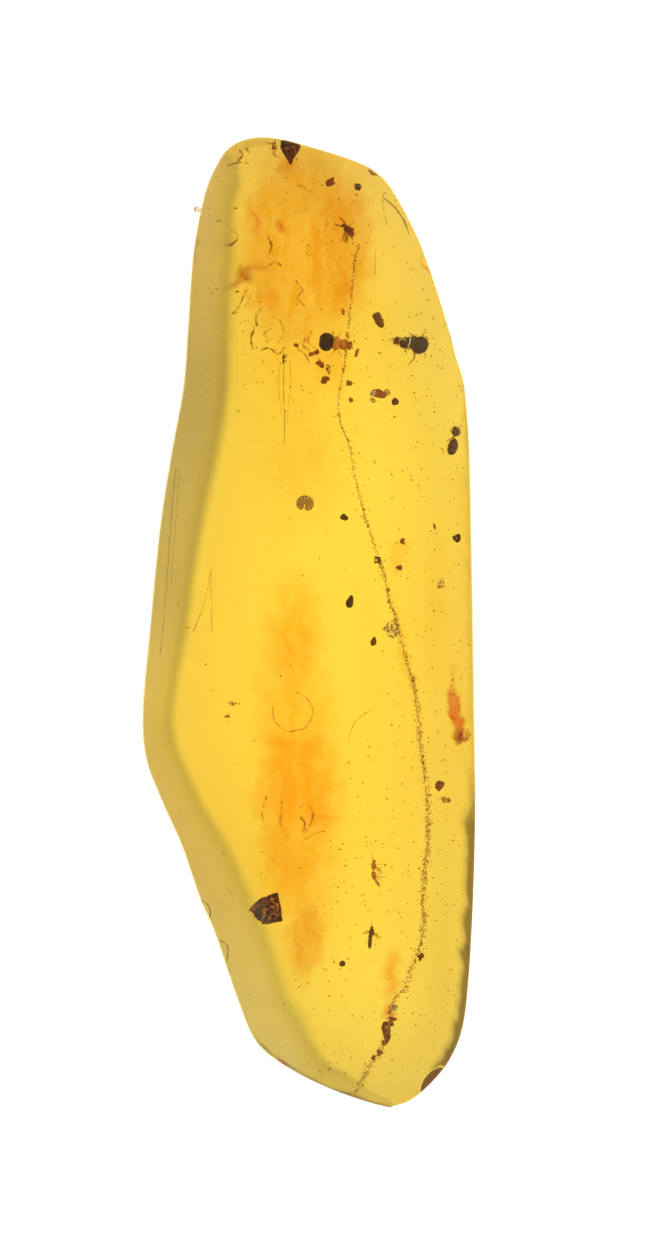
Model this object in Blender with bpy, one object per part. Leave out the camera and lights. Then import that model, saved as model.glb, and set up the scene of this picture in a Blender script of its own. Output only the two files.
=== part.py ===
"""Insect in amber: a polished free-form stone of clear amber with small insects sealed in it.

The stone lies on its back, which is ground flat. X runs across it, +Y runs along it to its blunt
end, and +Z comes up out of its polished face. The insects, a curled larva, bits of bark, drops of
dark resin and pellets all lie in one old flow layer, so the amber is parted along that layer in
two halves, and each sealed piece has a pocket that opens on the parting.

Lengths are in metres. Places in the tables are in millimetres from the middle of the stone.
"""

import math

import bmesh
import bpy
from mathutils import Matrix, Vector

MM = 0.001

# The stone: its polished face, its widest band and its flat back
THICKNESS = 7.4 * MM
BELT_LOW = 3.3 * MM
BELT_HIGH = 4.0 * MM
CROWN_ACROSS = 0.6 * MM
CROWN_ALONG = 0.8 * MM
HALF_WIDTH = 7.25 * MM
HALF_LENGTH = 21.0 * MM
EDGE_SOFTNESS = 0.7 * MM
SIDE_ROUND = 0.1 * MM
BACK_ROUND = 0.12 * MM

# The flow layer that the stone is parted along, and the gaps that keep neighbours apart
PARTING_HEIGHT = 3.7 * MM
PARTING_GAP = 0.3 * MM
POCKET_GAP = 0.32 * MM
POCKET_REACH = 0.35 * MM
POCKET_BEVEL = 0.25

# Outline seen from above, from the blunt end to the pointed end along each side
LEFT_SIDE = [
    (-1.0, 20.9), (-2.3, 21.0), (-3.5, 20.55), (-4.3, 19.3), (-4.75, 17.8), (-5.1, 15.7),
    (-5.3, 12.8), (-5.5, 10.2), (-6.0, 7.4), (-6.5, 4.2), (-6.9, 0.2), (-7.25, -3.8),
    (-7.1, -5.9), (-6.4, -7.8), (-5.55, -9.7), (-4.8, -11.9), (-4.15, -13.4), (-3.6, -15.0),
    (-3.15, -16.3), (-2.4, -18.1), (-1.3, -19.1), (0.8, -20.15), (2.5, -20.75), (3.5, -21.0),
]
RIGHT_SIDE = [
    (-1.0, 20.9), (0.6, 20.45), (2.0, 20.0), (3.0, 19.5), (3.8, 18.55), (4.9, 16.4),
    (5.8, 13.8), (6.45, 11.5), (6.8, 10.2), (7.0, 7.5), (7.1, 3.0), (7.2, -3.0),
    (7.25, -7.7), (7.15, -12.0), (6.95, -15.5), (6.7, -17.5), (6.2, -18.8), (5.5, -19.75),
    (4.5, -20.65), (3.5, -21.0),
]
COLUMNS_A_SIDE = 36
SPINE_END = 0.09

# The wide bevel down the left side: how far in it reaches at each place along the stone, and how
# steeply it falls; the rest of the rim has a narrow bevel of the same slope
BEVEL_WIDTHS = [
    (21.0, 0.5), (19.6, 1.5), (16.0, 2.05), (8.0, 2.2), (0.0, 1.85), (-4.5, 1.55),
    (-8.0, 1.75), (-12.0, 2.3), (-16.0, 2.5), (-18.5, 2.5), (-20.2, 1.0), (-21.0, 0.5),
]
RIM_BEVEL = 0.1 * MM
BEVEL_SLOPE = 1.15

# The facet ground on the blunt end's right: a point on its upper edge, the way it falls and slope
FACET_EDGE = (2.9, 15.5, 7.0)
FACET_FALL = (0.90, 0.43)
FACET_SLOPE = 0.62

# Rings of the mesh: how far in from the outline, then shares of the way left to the spine
FRONT_INSETS = (0.0, 0.01, 0.035, 0.1)
FRONT_SHARES = (0.09, 0.18, 0.28, 0.4, 0.55, 0.75, 1.0)
BACK_INSETS = (0.0, 0.015, 0.05, 0.12)
BACK_SHARES = (1.0,)

# A grain of old resin stuck to the edge, and the shell-shaped chip knocked out of the rim
GRAIN_AT = (-4.84, 17.9, 4.06)
GRAIN_RADIUS = 0.15
CHIP_AT = (5.47, -20.1, 6.9)
CHIP_RADII = (1.05, 0.8, 1.1)
CHIP_TURN = 50.0

# Insects, each in its own frame: x forward to the head, y to its left, z up. "at" and "turn" put it
# in the stone. The first of the blobs (place, radii) is the one that the others are joined to.
INSECTS = {
    "beetle": {
        "at": (1.33, 12.0, 3.85), "turn": -10,
        "blobs": [((-0.58, 0.0, 0.0), (0.34, 0.46, 0.34)), ((-0.02, -0.02, -0.02), (0.3, 0.36, 0.27)),
                  ((0.4, 0.0, 0.0), (0.15, 0.18, 0.14))],
        "leg_root": (-0.02, 0.22, -0.12), "reach": 0.42, "leg_radius": 0.03,
        "feelers": [((0.5, 0.06, 0.03), (0.62, 0.16, 0.08), (0.68, 0.28, 0.05))],
    },
    "fly": {
        "at": (4.1, 11.93, 3.65), "turn": 166,
        "blobs": [((-0.39, 0.0, 0.0), (0.31, 0.37, 0.33)), ((0.08, 0.0, 0.0), (0.34, 0.26, 0.26)),
                  ((0.47, 0.0, -0.03), (0.13, 0.16, 0.14))],
        "leg_root": (-0.1, 0.2, -0.12), "reach": 0.42, "leg_radius": 0.028,
        "feelers": [((0.56, 0.03, 0.0), (0.68, 0.1, 0.05), (0.74, 0.18, 0.05))],
    },
    "ant": {
        "at": (6.0, 7.88, 3.75), "turn": 82,
        "blobs": [((0.2, 0.0, 0.0), (0.19, 0.13, 0.14)), ((0.43, 0.0, 0.0), (0.14, 0.16, 0.13)),
                  ((0.02, 0.0, -0.02), (0.09, 0.06, 0.08)), ((-0.36, 0.0, 0.0), (0.34, 0.2, 0.22))],
        "leg_root": (0.18, 0.08, -0.06), "reach": 0.3, "leg_radius": 0.024,
        "feelers": [((0.5, 0.08, 0.04), (0.6, 0.2, 0.08), (0.54, 0.32, 0.04))],
    },
    "gnat": {
        "at": (1.52, 16.95, 3.7), "turn": 128,
        "blobs": [((0.0, 0.0, 0.0), (0.21, 0.18, 0.18)), ((0.25, 0.0, -0.04), (0.1, 0.12, 0.11)),
                  ((-0.33, 0.0, -0.02), (0.28, 0.11, 0.11))],
        "leg_root": (0.02, 0.1, -0.08), "reach": 0.46, "leg_radius": 0.024,
        "feelers": [((0.32, 0.03, 0.0), (0.46, 0.08, 0.04), (0.58, 0.16, 0.02))],
    },
    "slender_wasp": {
        "at": (2.76, -10.6, 3.6), "turn": 104,
        "blobs": [((0.12, 0.0, 0.0), (0.19, 0.11, 0.12)), ((0.35, 0.0, 0.0), (0.09, 0.11, 0.1)),
                  ((-0.24, 0.0, 0.0), (0.25, 0.1, 0.11)), ((-0.58, -0.03, 0.0), (0.18, 0.06, 0.06))],
        "leg_root": (0.08, 0.06, -0.05), "reach": 0.42, "leg_radius": 0.022,
        "feelers": [((0.41, 0.02, 0.0), (0.6, 0.03, 0.03), (0.8, 0.02, 0.02))],
    },
    "midge": {
        "at": (2.63, -13.42, 3.7), "turn": 96,
        "blobs": [((0.0, 0.0, 0.0), (0.21, 0.14, 0.15)), ((0.24, 0.0, -0.03), (0.08, 0.1, 0.09)),
                  ((-0.4, 0.0, 0.0), (0.27, 0.09, 0.1))],
        "leg_root": (0.0, 0.08, -0.07), "reach": 0.34, "leg_radius": 0.02,
        "feelers": [((0.3, 0.02, 0.0), (0.4, 0.07, 0.03), (0.46, 0.13, 0.02))],
    },
}
BLOB_SIDES = 8
BLOB_RINGS = 6
LIMB_SIDES = 5

# Legs: how far apart the hips are, how high hip and knee are, and how the foot lies
HIP_SPACING = 0.1
HIP_LIFT = 0.04
KNEE_SHARE = 0.62
KNEE_LIFT = 0.1
FOOT_TRAIL = 0.08
FOOT_DROP = 0.08

# A larva curled round on itself: the ring it lies along, its thickness and its gap, in degrees
LARVA_AT = (-0.16, 5.09, 3.7)
LARVA_RING = 0.235
LARVA_THICKNESS = 0.17
LARVA_GAP = 62.0
LARVA_STEPS = 14

# Bits of bark: outlines seen from above, undersides and thicknesses
BARK_OUTLINES = {
    "bark_chip": ([(-2.36, -12.28), (-2.0, -11.85), (-1.33, -11.62), (-1.2, -12.2), (-1.12, -12.85),
                   (-1.75, -12.95), (-2.02, -12.68)], 5.6, 0.6),
    "bark_wedge": ([(-1.16, 20.62), (-0.36, 20.42), (-0.5, 20.1), (-0.74, 19.8), (-0.95, 20.2)],
                   4.2, 0.6),
}
BARK_BEVEL = 0.06

# Drops of dark resin: the two ends of each drop and its greatest thickness, and how thick a drop
# is at each share of its length
RESIN_DROPS = {
    "upper_resin_drop": ((2.76, 13.33, 3.75), (3.06, 12.68, 3.7), 0.16),
    "lower_resin_drop": ((3.22, -17.2, 3.7), (3.36, -18.1, 3.7), 0.18),
}
DROP_PROFILE = [
    (0.0, 0.15), (0.12, 0.4), (0.35, 0.75), (0.6, 1.0), (0.8, 0.93), (0.93, 0.6), (1.0, 0.25),
]

# Pellets: place, half length, half width and turn
PELLETS = [
    ((1.74, 0.89, 3.8), 0.26, 0.15, 80), ((2.7, -0.8, 3.7), 0.2, 0.13, 75),
    ((1.48, 4.53, 3.75), 0.18, 0.13, 150), ((3.63, 9.53, 3.6), 0.18, 0.14, 100),
    ((2.96, 9.86, 3.7), 0.26, 0.17, 170), ((6.25, 3.62, 3.7), 0.17, 0.16, 30),
    ((5.49, -7.03, 3.7), 0.18, 0.16, 60), ((2.42, 19.31, 3.7), 0.36, 0.16, 160),
]

# Finishes: colour, roughness and how see-through
FINISHES = {
    "clear_amber": ((0.92, 0.6, 0.08), 0.06, 0.9),
    "chitin": ((0.03, 0.017, 0.01), 0.3, 0.0),
    "larva_skin": ((0.2, 0.16, 0.09), 0.5, 0.0),
    "bark": ((0.1, 0.075, 0.045), 0.85, 0.0),
    "dark_resin": ((0.1, 0.012, 0.006), 0.15, 0.0),
    "pellet": ((0.05, 0.03, 0.015), 0.7, 0.0),
}


def smooth_side(points, count):
    """Return count + 1 places at even steps along a smooth curve through the points."""
    knots = [Vector((x * MM, y * MM)) for x, y in points]
    knots = [2 * knots[0] - knots[1]] + knots + [2 * knots[-1] - knots[-2]]
    dense = []
    for before, start, end, after in zip(knots, knots[1:], knots[2:], knots[3:]):
        for step in range(16):
            t = step / 16
            pull = (end - before) * t + (2 * before - 5 * start + 4 * end - after) * t * t
            pull += (3 * start - before - 3 * end + after) * t ** 3
            dense.append(start + pull / 2)
    dense.append(knots[-2])
    reach = [0.0]
    for a, b in zip(dense, dense[1:]):
        reach.append(reach[-1] + (b - a).length)
    places = []
    at = 0
    for index in range(count + 1):
        wanted = reach[-1] * index / count
        while at < len(reach) - 2 and reach[at + 1] < wanted:
            at += 1
        share = (wanted - reach[at]) / (reach[at + 1] - reach[at])
        places.append(dense[at].lerp(dense[at + 1], share))
    return places


def width_at(table, y):
    """Return the width that the table gives at a place along the stone."""
    for (high, wide), (low, next_wide) in zip(table, table[1:]):
        if y >= low * MM:
            share = min(max((high * MM - y) / ((high - low) * MM), 0.0), 1.0)
            share = share * share * (3 - 2 * share)
            return (wide + (next_wide - wide) * share) * MM
    return table[-1][1] * MM


def stone_columns(count):
    """Return (place on the outline, place on the spine, bevel width) once round the stone."""
    left = smooth_side(LEFT_SIDE, count)
    right = smooth_side(RIGHT_SIDE, count)
    middle = [(a + b) / 2 for a, b in zip(left, right)]
    spine = []
    for index in range(count + 1):
        along = count * SPINE_END + (1 - 2 * SPINE_END) * index
        low = min(int(along), count - 1)
        spine.append(middle[low].lerp(middle[low + 1], along - low))
    columns = [(rim, heart, width_at(BEVEL_WIDTHS, rim.y)) for rim, heart in zip(left, spine)]
    columns += [(rim, heart, RIM_BEVEL) for rim, heart in zip(right[-2:0:-1], spine[-2:0:-1])]
    return columns


def soft_min(a, b):
    """Return the lower of two heights, with the edge where they meet rounded."""
    near = max(EDGE_SOFTNESS - abs(a - b), 0.0) / EDGE_SOFTNESS
    return min(a, b) - near * near * EDGE_SOFTNESS / 4


def front_height(place, inset, bevel):
    """Return the polished face's height at a place that far in from the outline."""
    across = place.x / HALF_WIDTH
    along = place.y / HALF_LENGTH
    height = THICKNESS - CROWN_ACROSS * across ** 2 - CROWN_ALONG * along ** 2
    edge = Vector(FACET_EDGE) * MM
    fallen = (place - edge.xy).dot(Vector(FACET_FALL).normalized())
    height = soft_min(height, edge.z - FACET_SLOPE * fallen)
    height = soft_min(height, THICKNESS - BEVEL_SLOPE * (bevel - inset))
    short = max(1 - inset / SIDE_ROUND, 0.0)
    return BELT_HIGH + (height - BELT_HIGH) * math.sqrt(1 - short ** 2)


def back_height(place, inset, bevel):
    """Return the back's height: it rounds over from the belt to the ground flat."""
    short = max(1 - inset / BACK_ROUND, 0.0)
    return BELT_LOW * (1 - math.sqrt(1 - short ** 2))


def grow_face(bm, rim_edges, column, columns, insets, shares, height_at):
    """Extrude the rim's edges inwards, ring by ring, and close them along the spine."""
    edges = rim_edges
    steps = [(inset * MM, 0.0) for inset in insets] + [(insets[-1] * MM, share) for share in shares]
    for inset, share in steps:
        grown = bmesh.ops.extrude_edge_only(bm, edges=edges)["geom"]
        edges = [item for item in grown if isinstance(item, bmesh.types.BMEdge)]
        verts = [item for item in grown if isinstance(item, bmesh.types.BMVert)]
        for vert in verts:
            rim, heart, bevel = columns[vert[column]]
            near = rim + (heart - rim).normalized() * inset
            place = near.lerp(heart, share)
            vert.co = (place.x, place.y, height_at(place, (place - rim).length, bevel))
    bmesh.ops.remove_doubles(bm, verts=verts, dist=0.00001)


def stone_mesh(count=COLUMNS_A_SIDE, front=(FRONT_INSETS, FRONT_SHARES),
               back=(BACK_INSETS, BACK_SHARES)):
    """Return the whole stone as one closed bmesh."""
    columns = stone_columns(count)
    bm = bmesh.new()
    column = bm.verts.layers.int.new("column")
    ring = bmesh.ops.create_circle(bm, segments=len(columns), radius=1.0)["verts"]
    for index, vert in enumerate(ring):
        vert[column] = index
        rim = columns[index][0]
        vert.co = (rim.x, rim.y, (BELT_LOW + BELT_HIGH) / 2)
    belt = bm.edges[:]
    grow_face(bm, belt, column, columns, *front, front_height)
    grow_face(bm, belt, column, columns, *back, back_height)
    bmesh.ops.recalc_face_normals(bm, faces=bm.faces)
    return bm


def tube(bm, points, radii, sides):
    """Add a closed tube along the points, as thick at each as its radius."""
    places = [Vector(point) * MM for point in points]
    ways = [(b - a).normalized() for a, b in zip(places, places[1:])]
    ways = [ways[0]] + [(a + b).normalized() for a, b in zip(ways, ways[1:])] + [ways[-1]]
    turns = [way.to_track_quat("Z", "Y").to_matrix() for way in ways]
    start = Matrix.Translation(places[0]) @ turns[0].to_4x4()
    ring = bmesh.ops.create_circle(bm, cap_ends=True, segments=sides, radius=radii[0] * MM,
                                   matrix=start)
    cap = ring["verts"][0].link_faces[0]
    for index in range(1, len(places)):
        grown = bmesh.ops.extrude_face_region(bm, geom=[cap])["geom"]
        if index > 1:
            bmesh.ops.delete(bm, geom=[cap], context="FACES_ONLY")
        cap = next(item for item in grown if isinstance(item, bmesh.types.BMFace))
        for vert in cap.verts:
            offset = turns[index - 1].transposed() @ (vert.co - places[index - 1])
            swell = radii[index] / radii[index - 1]
            vert.co = places[index] + turns[index] @ offset * swell


def blob(bm, place, radii, turn=0.0):
    """Add an egg-shaped body, its poles at its ends, turned about Z."""
    matrix = Matrix.Translation(Vector(place) * MM) @ Matrix.Rotation(math.radians(turn), 4, "Z")
    matrix = matrix @ Matrix.Diagonal((*(Vector(radii) * MM), 1.0))
    matrix = matrix @ Matrix.Rotation(math.radians(90), 4, "Y")
    bmesh.ops.create_uvsphere(bm, u_segments=BLOB_SIDES, v_segments=BLOB_RINGS, radius=1.0,
                              matrix=matrix)


def finish(name):
    """Return the named material."""
    made = bpy.data.materials.get(name)
    if made is None:
        made = bpy.data.materials.new(name)
        made.use_nodes = True
        shader = made.node_tree.nodes["Principled BSDF"]
        colour, roughness, clear = FINISHES[name]
        shader.inputs["Base Color"].default_value = (*colour, 1.0)
        shader.inputs["Roughness"].default_value = roughness
        shader.inputs["Metallic"].default_value = 0.0
        shader.inputs["Transmission Weight"].default_value = clear
    return made


def object_from(bm, name, material=None, smooth=True):
    """Return a new object that holds the shape, with its faces pointing out."""
    bmesh.ops.recalc_face_normals(bm, faces=bm.faces)
    mesh = bpy.data.meshes.new(name)
    bm.to_mesh(mesh)
    bm.free()
    if smooth:
        mesh.shade_smooth()
        mesh.set_sharp_from_angle(angle=math.radians(50))
    if material is not None:
        mesh.materials.append(finish(material))
    made = bpy.data.objects.new(name, mesh)
    bpy.context.scene.collection.objects.link(made)
    return made


def hide_guide(guide):
    """Mark an object as a guide, which is no piece of the part."""
    guide.hide_render = True
    guide.display_type = "WIRE"


def leg_points(root, reach, side, pair):
    """Return a bent leg's places: hip, knee and foot, for the front, middle or hind pair."""
    x, y, z = root
    spread = math.radians(55 - 50 * pair)
    out = Vector((math.sin(spread), math.cos(spread) * side))
    hip = Vector((x + HIP_SPACING * (1 - pair), y * side * 0.6))
    knee = hip + out * reach * KNEE_SHARE
    foot = hip + out * reach - Vector((FOOT_TRAIL, 0.0))
    return [(*hip, z + HIP_LIFT), (*knee, z + KNEE_LIFT), (*foot, z - FOOT_DROP)]


def insect(name):
    """Make one insect: its body, six legs and two feelers, joined in one skin."""
    shape = INSECTS[name]
    body = bmesh.new()
    blob(body, *shape["blobs"][0])
    rest = bmesh.new()
    for place, radii in shape["blobs"][1:]:
        blob(rest, place, radii)
    thick = shape["leg_radius"]
    for side in (-1, 1):
        for pair in range(3):
            points = leg_points(shape["leg_root"], shape["reach"], side, pair)
            tube(rest, points, (thick, thick * 0.85, thick * 0.6), LIMB_SIDES)
        for feeler in shape["feelers"]:
            points = [(x, y * side, z) for x, y, z in feeler]
            tube(rest, points, (thick * 0.8, thick * 0.7, thick * 0.5), LIMB_SIDES)
    place = Matrix.Translation(Vector(shape["at"]) * MM)
    place = place @ Matrix.Rotation(math.radians(shape["turn"]), 4, "Z")
    made = object_from(body, name, "chitin")
    guide = object_from(rest, name + "_limbs")
    guide.matrix_world = place
    made.matrix_world = place
    hide_guide(guide)
    joined = made.modifiers.new("join limbs", "BOOLEAN")
    joined.operation = "UNION"
    joined.object = guide
    joined.use_self = True
    return made


def larva():
    """Make the curled larva: a thick tube round most of a ring, with rounded ends."""
    bm = bmesh.new()
    points = []
    radii = []
    for step in range(LARVA_STEPS + 1):
        share = step / LARVA_STEPS
        angle = math.radians(LARVA_GAP / 2 + (360 - LARVA_GAP) * share - 100)
        points.append((LARVA_AT[0] + LARVA_RING * math.cos(angle),
                       LARVA_AT[1] + LARVA_RING * math.sin(angle), LARVA_AT[2]))
        radii.append(LARVA_THICKNESS * max(math.sqrt(1 - abs(2 * share - 1) ** 5), 0.3))
    tube(bm, points, radii, BLOB_SIDES)
    return object_from(bm, "curled_larva", "larva_skin")


def bark(name):
    """Make a bit of bark: its outline drawn up to its thickness, with worn edges."""
    outline, underside, thickness = BARK_OUTLINES[name]
    bm = bmesh.new()
    corners = [bm.verts.new(Vector((x, y, underside)) * MM) for x, y in outline]
    face = bmesh.ops.contextual_create(bm, geom=corners)["faces"][0]
    grown = bmesh.ops.extrude_face_region(bm, geom=[face])["geom"]
    top = [item for item in grown if isinstance(item, bmesh.types.BMVert)]
    bmesh.ops.translate(bm, verts=top, vec=(0.0, 0.0, thickness * MM))
    bmesh.ops.bevel(bm, geom=bm.edges[:], offset=BARK_BEVEL * MM, affect="EDGES", segments=1,
                    profile=0.5, material=-1)
    return object_from(bm, name, "bark", smooth=False)


def resin_drop(name):
    """Make a drop of dark resin: thin at its upper end and full at its lower one."""
    upper, lower, thickness = RESIN_DROPS[name]
    bm = bmesh.new()
    points = [Vector(upper).lerp(Vector(lower), share) for share, swell in DROP_PROFILE]
    tube(bm, points, [thickness * swell for share, swell in DROP_PROFILE], BLOB_SIDES)
    return object_from(bm, name, "dark_resin")


def pellet(number, place, half_length, half_width, turn):
    """Make one dark pellet."""
    bm = bmesh.new()
    blob(bm, place, (half_length, half_width, half_width), turn)
    return object_from(bm, f"dark_pellet_{number}", "pellet")


def pocket_for(piece, hollows):
    """Add a hollow round a sealed piece that reaches through the parting."""
    bpy.context.view_layer.update()
    shape = piece.evaluated_get(bpy.context.evaluated_depsgraph_get())
    corners = [shape.matrix_world @ Vector(corner) for corner in shape.bound_box]
    low = Vector([min(corner[axis] for corner in corners) - POCKET_GAP for axis in range(3)])
    high = Vector([max(corner[axis] for corner in corners) + POCKET_GAP for axis in range(3)])
    low.z = min(low.z, PARTING_HEIGHT - POCKET_REACH)
    high.z = max(high.z, PARTING_HEIGHT + POCKET_REACH)
    bm = bmesh.new()
    size = high - low
    matrix = Matrix.Translation((low + high) / 2) @ Matrix.Diagonal((*size, 1.0))
    bmesh.ops.create_cube(bm, size=1.0, matrix=matrix)
    bmesh.ops.bevel(bm, geom=bm.edges[:], offset=min(size) * POCKET_BEVEL, affect="EDGES",
                    segments=1, profile=0.5, material=-1)
    add_hollow(object_from(bm, piece.name + "_pocket"), hollows)


def add_hollow(guide, hollows):
    """Move a guide to the collection of what is cut out of the amber."""
    hide_guide(guide)
    bpy.context.scene.collection.objects.unlink(guide)
    hollows.objects.link(guide)


def chip_hollow(hollows):
    """Add the shell-shaped chip that is missing from the rim."""
    bm = bmesh.new()
    blob(bm, CHIP_AT, CHIP_RADII, CHIP_TURN)
    add_hollow(object_from(bm, "rim_chip"), hollows)


def amber_half(name, keep_above, hollows):
    """Make the stone's half on one side of the parting, with the hollows cut out of it."""
    bm = stone_mesh()
    side = 1 if keep_above else -1
    cut_at = PARTING_HEIGHT + side * PARTING_GAP / 2
    cut = bmesh.ops.bisect_plane(bm, geom=bm.verts[:] + bm.edges[:] + bm.faces[:], dist=0.000001,
                                 plane_co=(0.0, 0.0, cut_at), plane_no=(0.0, 0.0, side),
                                 clear_inner=True)
    rim = [item for item in cut["geom_cut"] if isinstance(item, bmesh.types.BMEdge)]
    bmesh.ops.contextual_create(bm, geom=rim)
    made = object_from(bm, name, "clear_amber")
    cutting = made.modifiers.new("hollows", "BOOLEAN")
    cutting.operation = "DIFFERENCE"
    cutting.operand_type = "COLLECTION"
    cutting.collection = hollows
    return made


def resin_grain(front):
    """Join the grain of old resin to the edge of the front half."""
    bm = bmesh.new()
    blob(bm, GRAIN_AT, (GRAIN_RADIUS, GRAIN_RADIUS, GRAIN_RADIUS))
    grain = object_from(bm, "resin_grain")
    hide_guide(grain)
    joined = front.modifiers.new("grain on the edge", "BOOLEAN")
    joined.operation = "UNION"
    joined.object = grain


def main():
    """Make the sealed pieces, then the two halves of amber round them."""
    for old in list(bpy.data.objects):
        bpy.data.objects.remove(old)
    hollows = bpy.data.collections.new("hollows")
    bpy.context.scene.collection.children.link(hollows)
    sealed = [insect(name) for name in INSECTS]
    sealed.append(larva())
    sealed += [bark(name) for name in BARK_OUTLINES]
    sealed += [resin_drop(name) for name in RESIN_DROPS]
    sealed += [pellet(number, *shape) for number, shape in enumerate(PELLETS, 1)]
    for piece in sealed:
        pocket_for(piece, hollows)
    chip_hollow(hollows)
    front = amber_half("amber_front_half", True, hollows)
    amber_half("amber_back_half", False, hollows)
    resin_grain(front)


main()
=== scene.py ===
import math
import random

import bmesh
import bpy
from mathutils import Matrix, Vector, noise
from mathutils.bvhtree import BVHTree


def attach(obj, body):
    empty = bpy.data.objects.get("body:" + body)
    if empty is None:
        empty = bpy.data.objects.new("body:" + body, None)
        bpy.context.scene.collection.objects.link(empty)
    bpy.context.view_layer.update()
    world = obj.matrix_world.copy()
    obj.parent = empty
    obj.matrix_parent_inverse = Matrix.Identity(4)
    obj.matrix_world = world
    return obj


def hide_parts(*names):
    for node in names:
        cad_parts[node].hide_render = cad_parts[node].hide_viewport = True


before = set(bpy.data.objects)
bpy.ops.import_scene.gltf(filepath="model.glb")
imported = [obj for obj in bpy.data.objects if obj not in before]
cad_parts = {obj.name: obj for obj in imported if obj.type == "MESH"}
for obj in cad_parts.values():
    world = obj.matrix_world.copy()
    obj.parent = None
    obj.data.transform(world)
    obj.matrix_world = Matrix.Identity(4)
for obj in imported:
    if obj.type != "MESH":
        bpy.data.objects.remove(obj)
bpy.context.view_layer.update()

# Insect in amber: the finish of the polished stone and of the small things sealed in it.
# Lengths are in metres. Places in the tables are in millimetres from the middle of the stone,
# X across it, Y along it to its blunt end and Z up from the flat back that it lies on.
MM = 0.001

# ---------------------------------------------------------------- the stone's own shape
THICKNESS = 7.4 * MM
BELT_LOW = 3.3 * MM
BELT_HIGH = 4.0 * MM
CROWN_ACROSS = 0.6 * MM
CROWN_ALONG = 0.8 * MM
HALF_WIDTH = 7.25 * MM
HALF_LENGTH = 21.0 * MM
EDGE_SOFTNESS = 0.7 * MM
SIDE_ROUND = 0.1 * MM
BACK_ROUND = 0.12 * MM
POLISH_ALLOWANCE = 0.03 * MM

LEFT_SIDE = [
    (-1.0, 20.9), (-2.3, 21.0), (-3.5, 20.55), (-4.3, 19.3), (-4.75, 17.8), (-5.1, 15.7),
    (-5.3, 12.8), (-5.5, 10.2), (-6.0, 7.4), (-6.5, 4.2), (-6.9, 0.2), (-7.25, -3.8),
    (-7.1, -5.9), (-6.4, -7.8), (-5.55, -9.7), (-4.8, -11.9), (-4.15, -13.4), (-3.6, -15.0),
    (-3.15, -16.3), (-2.4, -18.1), (-1.3, -19.1), (0.8, -20.15), (2.5, -20.75), (3.5, -21.0),
]
RIGHT_SIDE = [
    (-1.0, 20.9), (0.6, 20.45), (2.0, 20.0), (3.0, 19.5), (3.8, 18.55), (4.9, 16.4),
    (5.8, 13.8), (6.45, 11.5), (6.8, 10.2), (7.0, 7.5), (7.1, 3.0), (7.2, -3.0),
    (7.25, -7.7), (7.15, -12.0), (6.95, -15.5), (6.7, -17.5), (6.2, -18.8), (5.5, -19.75),
    (4.5, -20.65), (3.5, -21.0),
]
COLUMNS_A_SIDE = 150
SPINE_END = 0.09
BEVEL_WIDTHS = [
    (21.0, 0.5), (19.6, 1.5), (16.0, 2.05), (8.0, 2.2), (0.0, 1.85), (-4.5, 1.55),
    (-8.0, 1.75), (-12.0, 2.3), (-16.0, 2.5), (-18.5, 2.5), (-20.2, 1.0), (-21.0, 0.5),
]
RIM_BEVEL = 0.1 * MM
BEVEL_SLOPE = 1.15
FACET_EDGE = (2.9, 15.5, 7.0)
FACET_FALL = (0.90, 0.43)
FACET_SLOPE = 0.62
FRONT_INSETS = (0.0, 0.002, 0.006, 0.013, 0.023, 0.037, 0.055, 0.077, 0.1, 0.14, 0.2, 0.28)
FRONT_SHARES = tuple((step + 1) / 44 for step in range(44))
BACK_INSETS = (0.0, 0.002, 0.006, 0.012, 0.02, 0.03, 0.043, 0.06, 0.08, 0.1, 0.12)
BACK_SHARES = (0.25, 0.5, 0.75, 1.0)
WAVE_HEIGHT = 0.022 * MM
WAVE_LENGTH = 2.6 * MM

# Clear amber: what it takes out of the light, and how strongly, per metre
AMBER_ABSORBS = (1.0, 0.885, 0.06)
AMBER_DENSITY = 200.0
AMBER_IOR = 1.54

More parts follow.
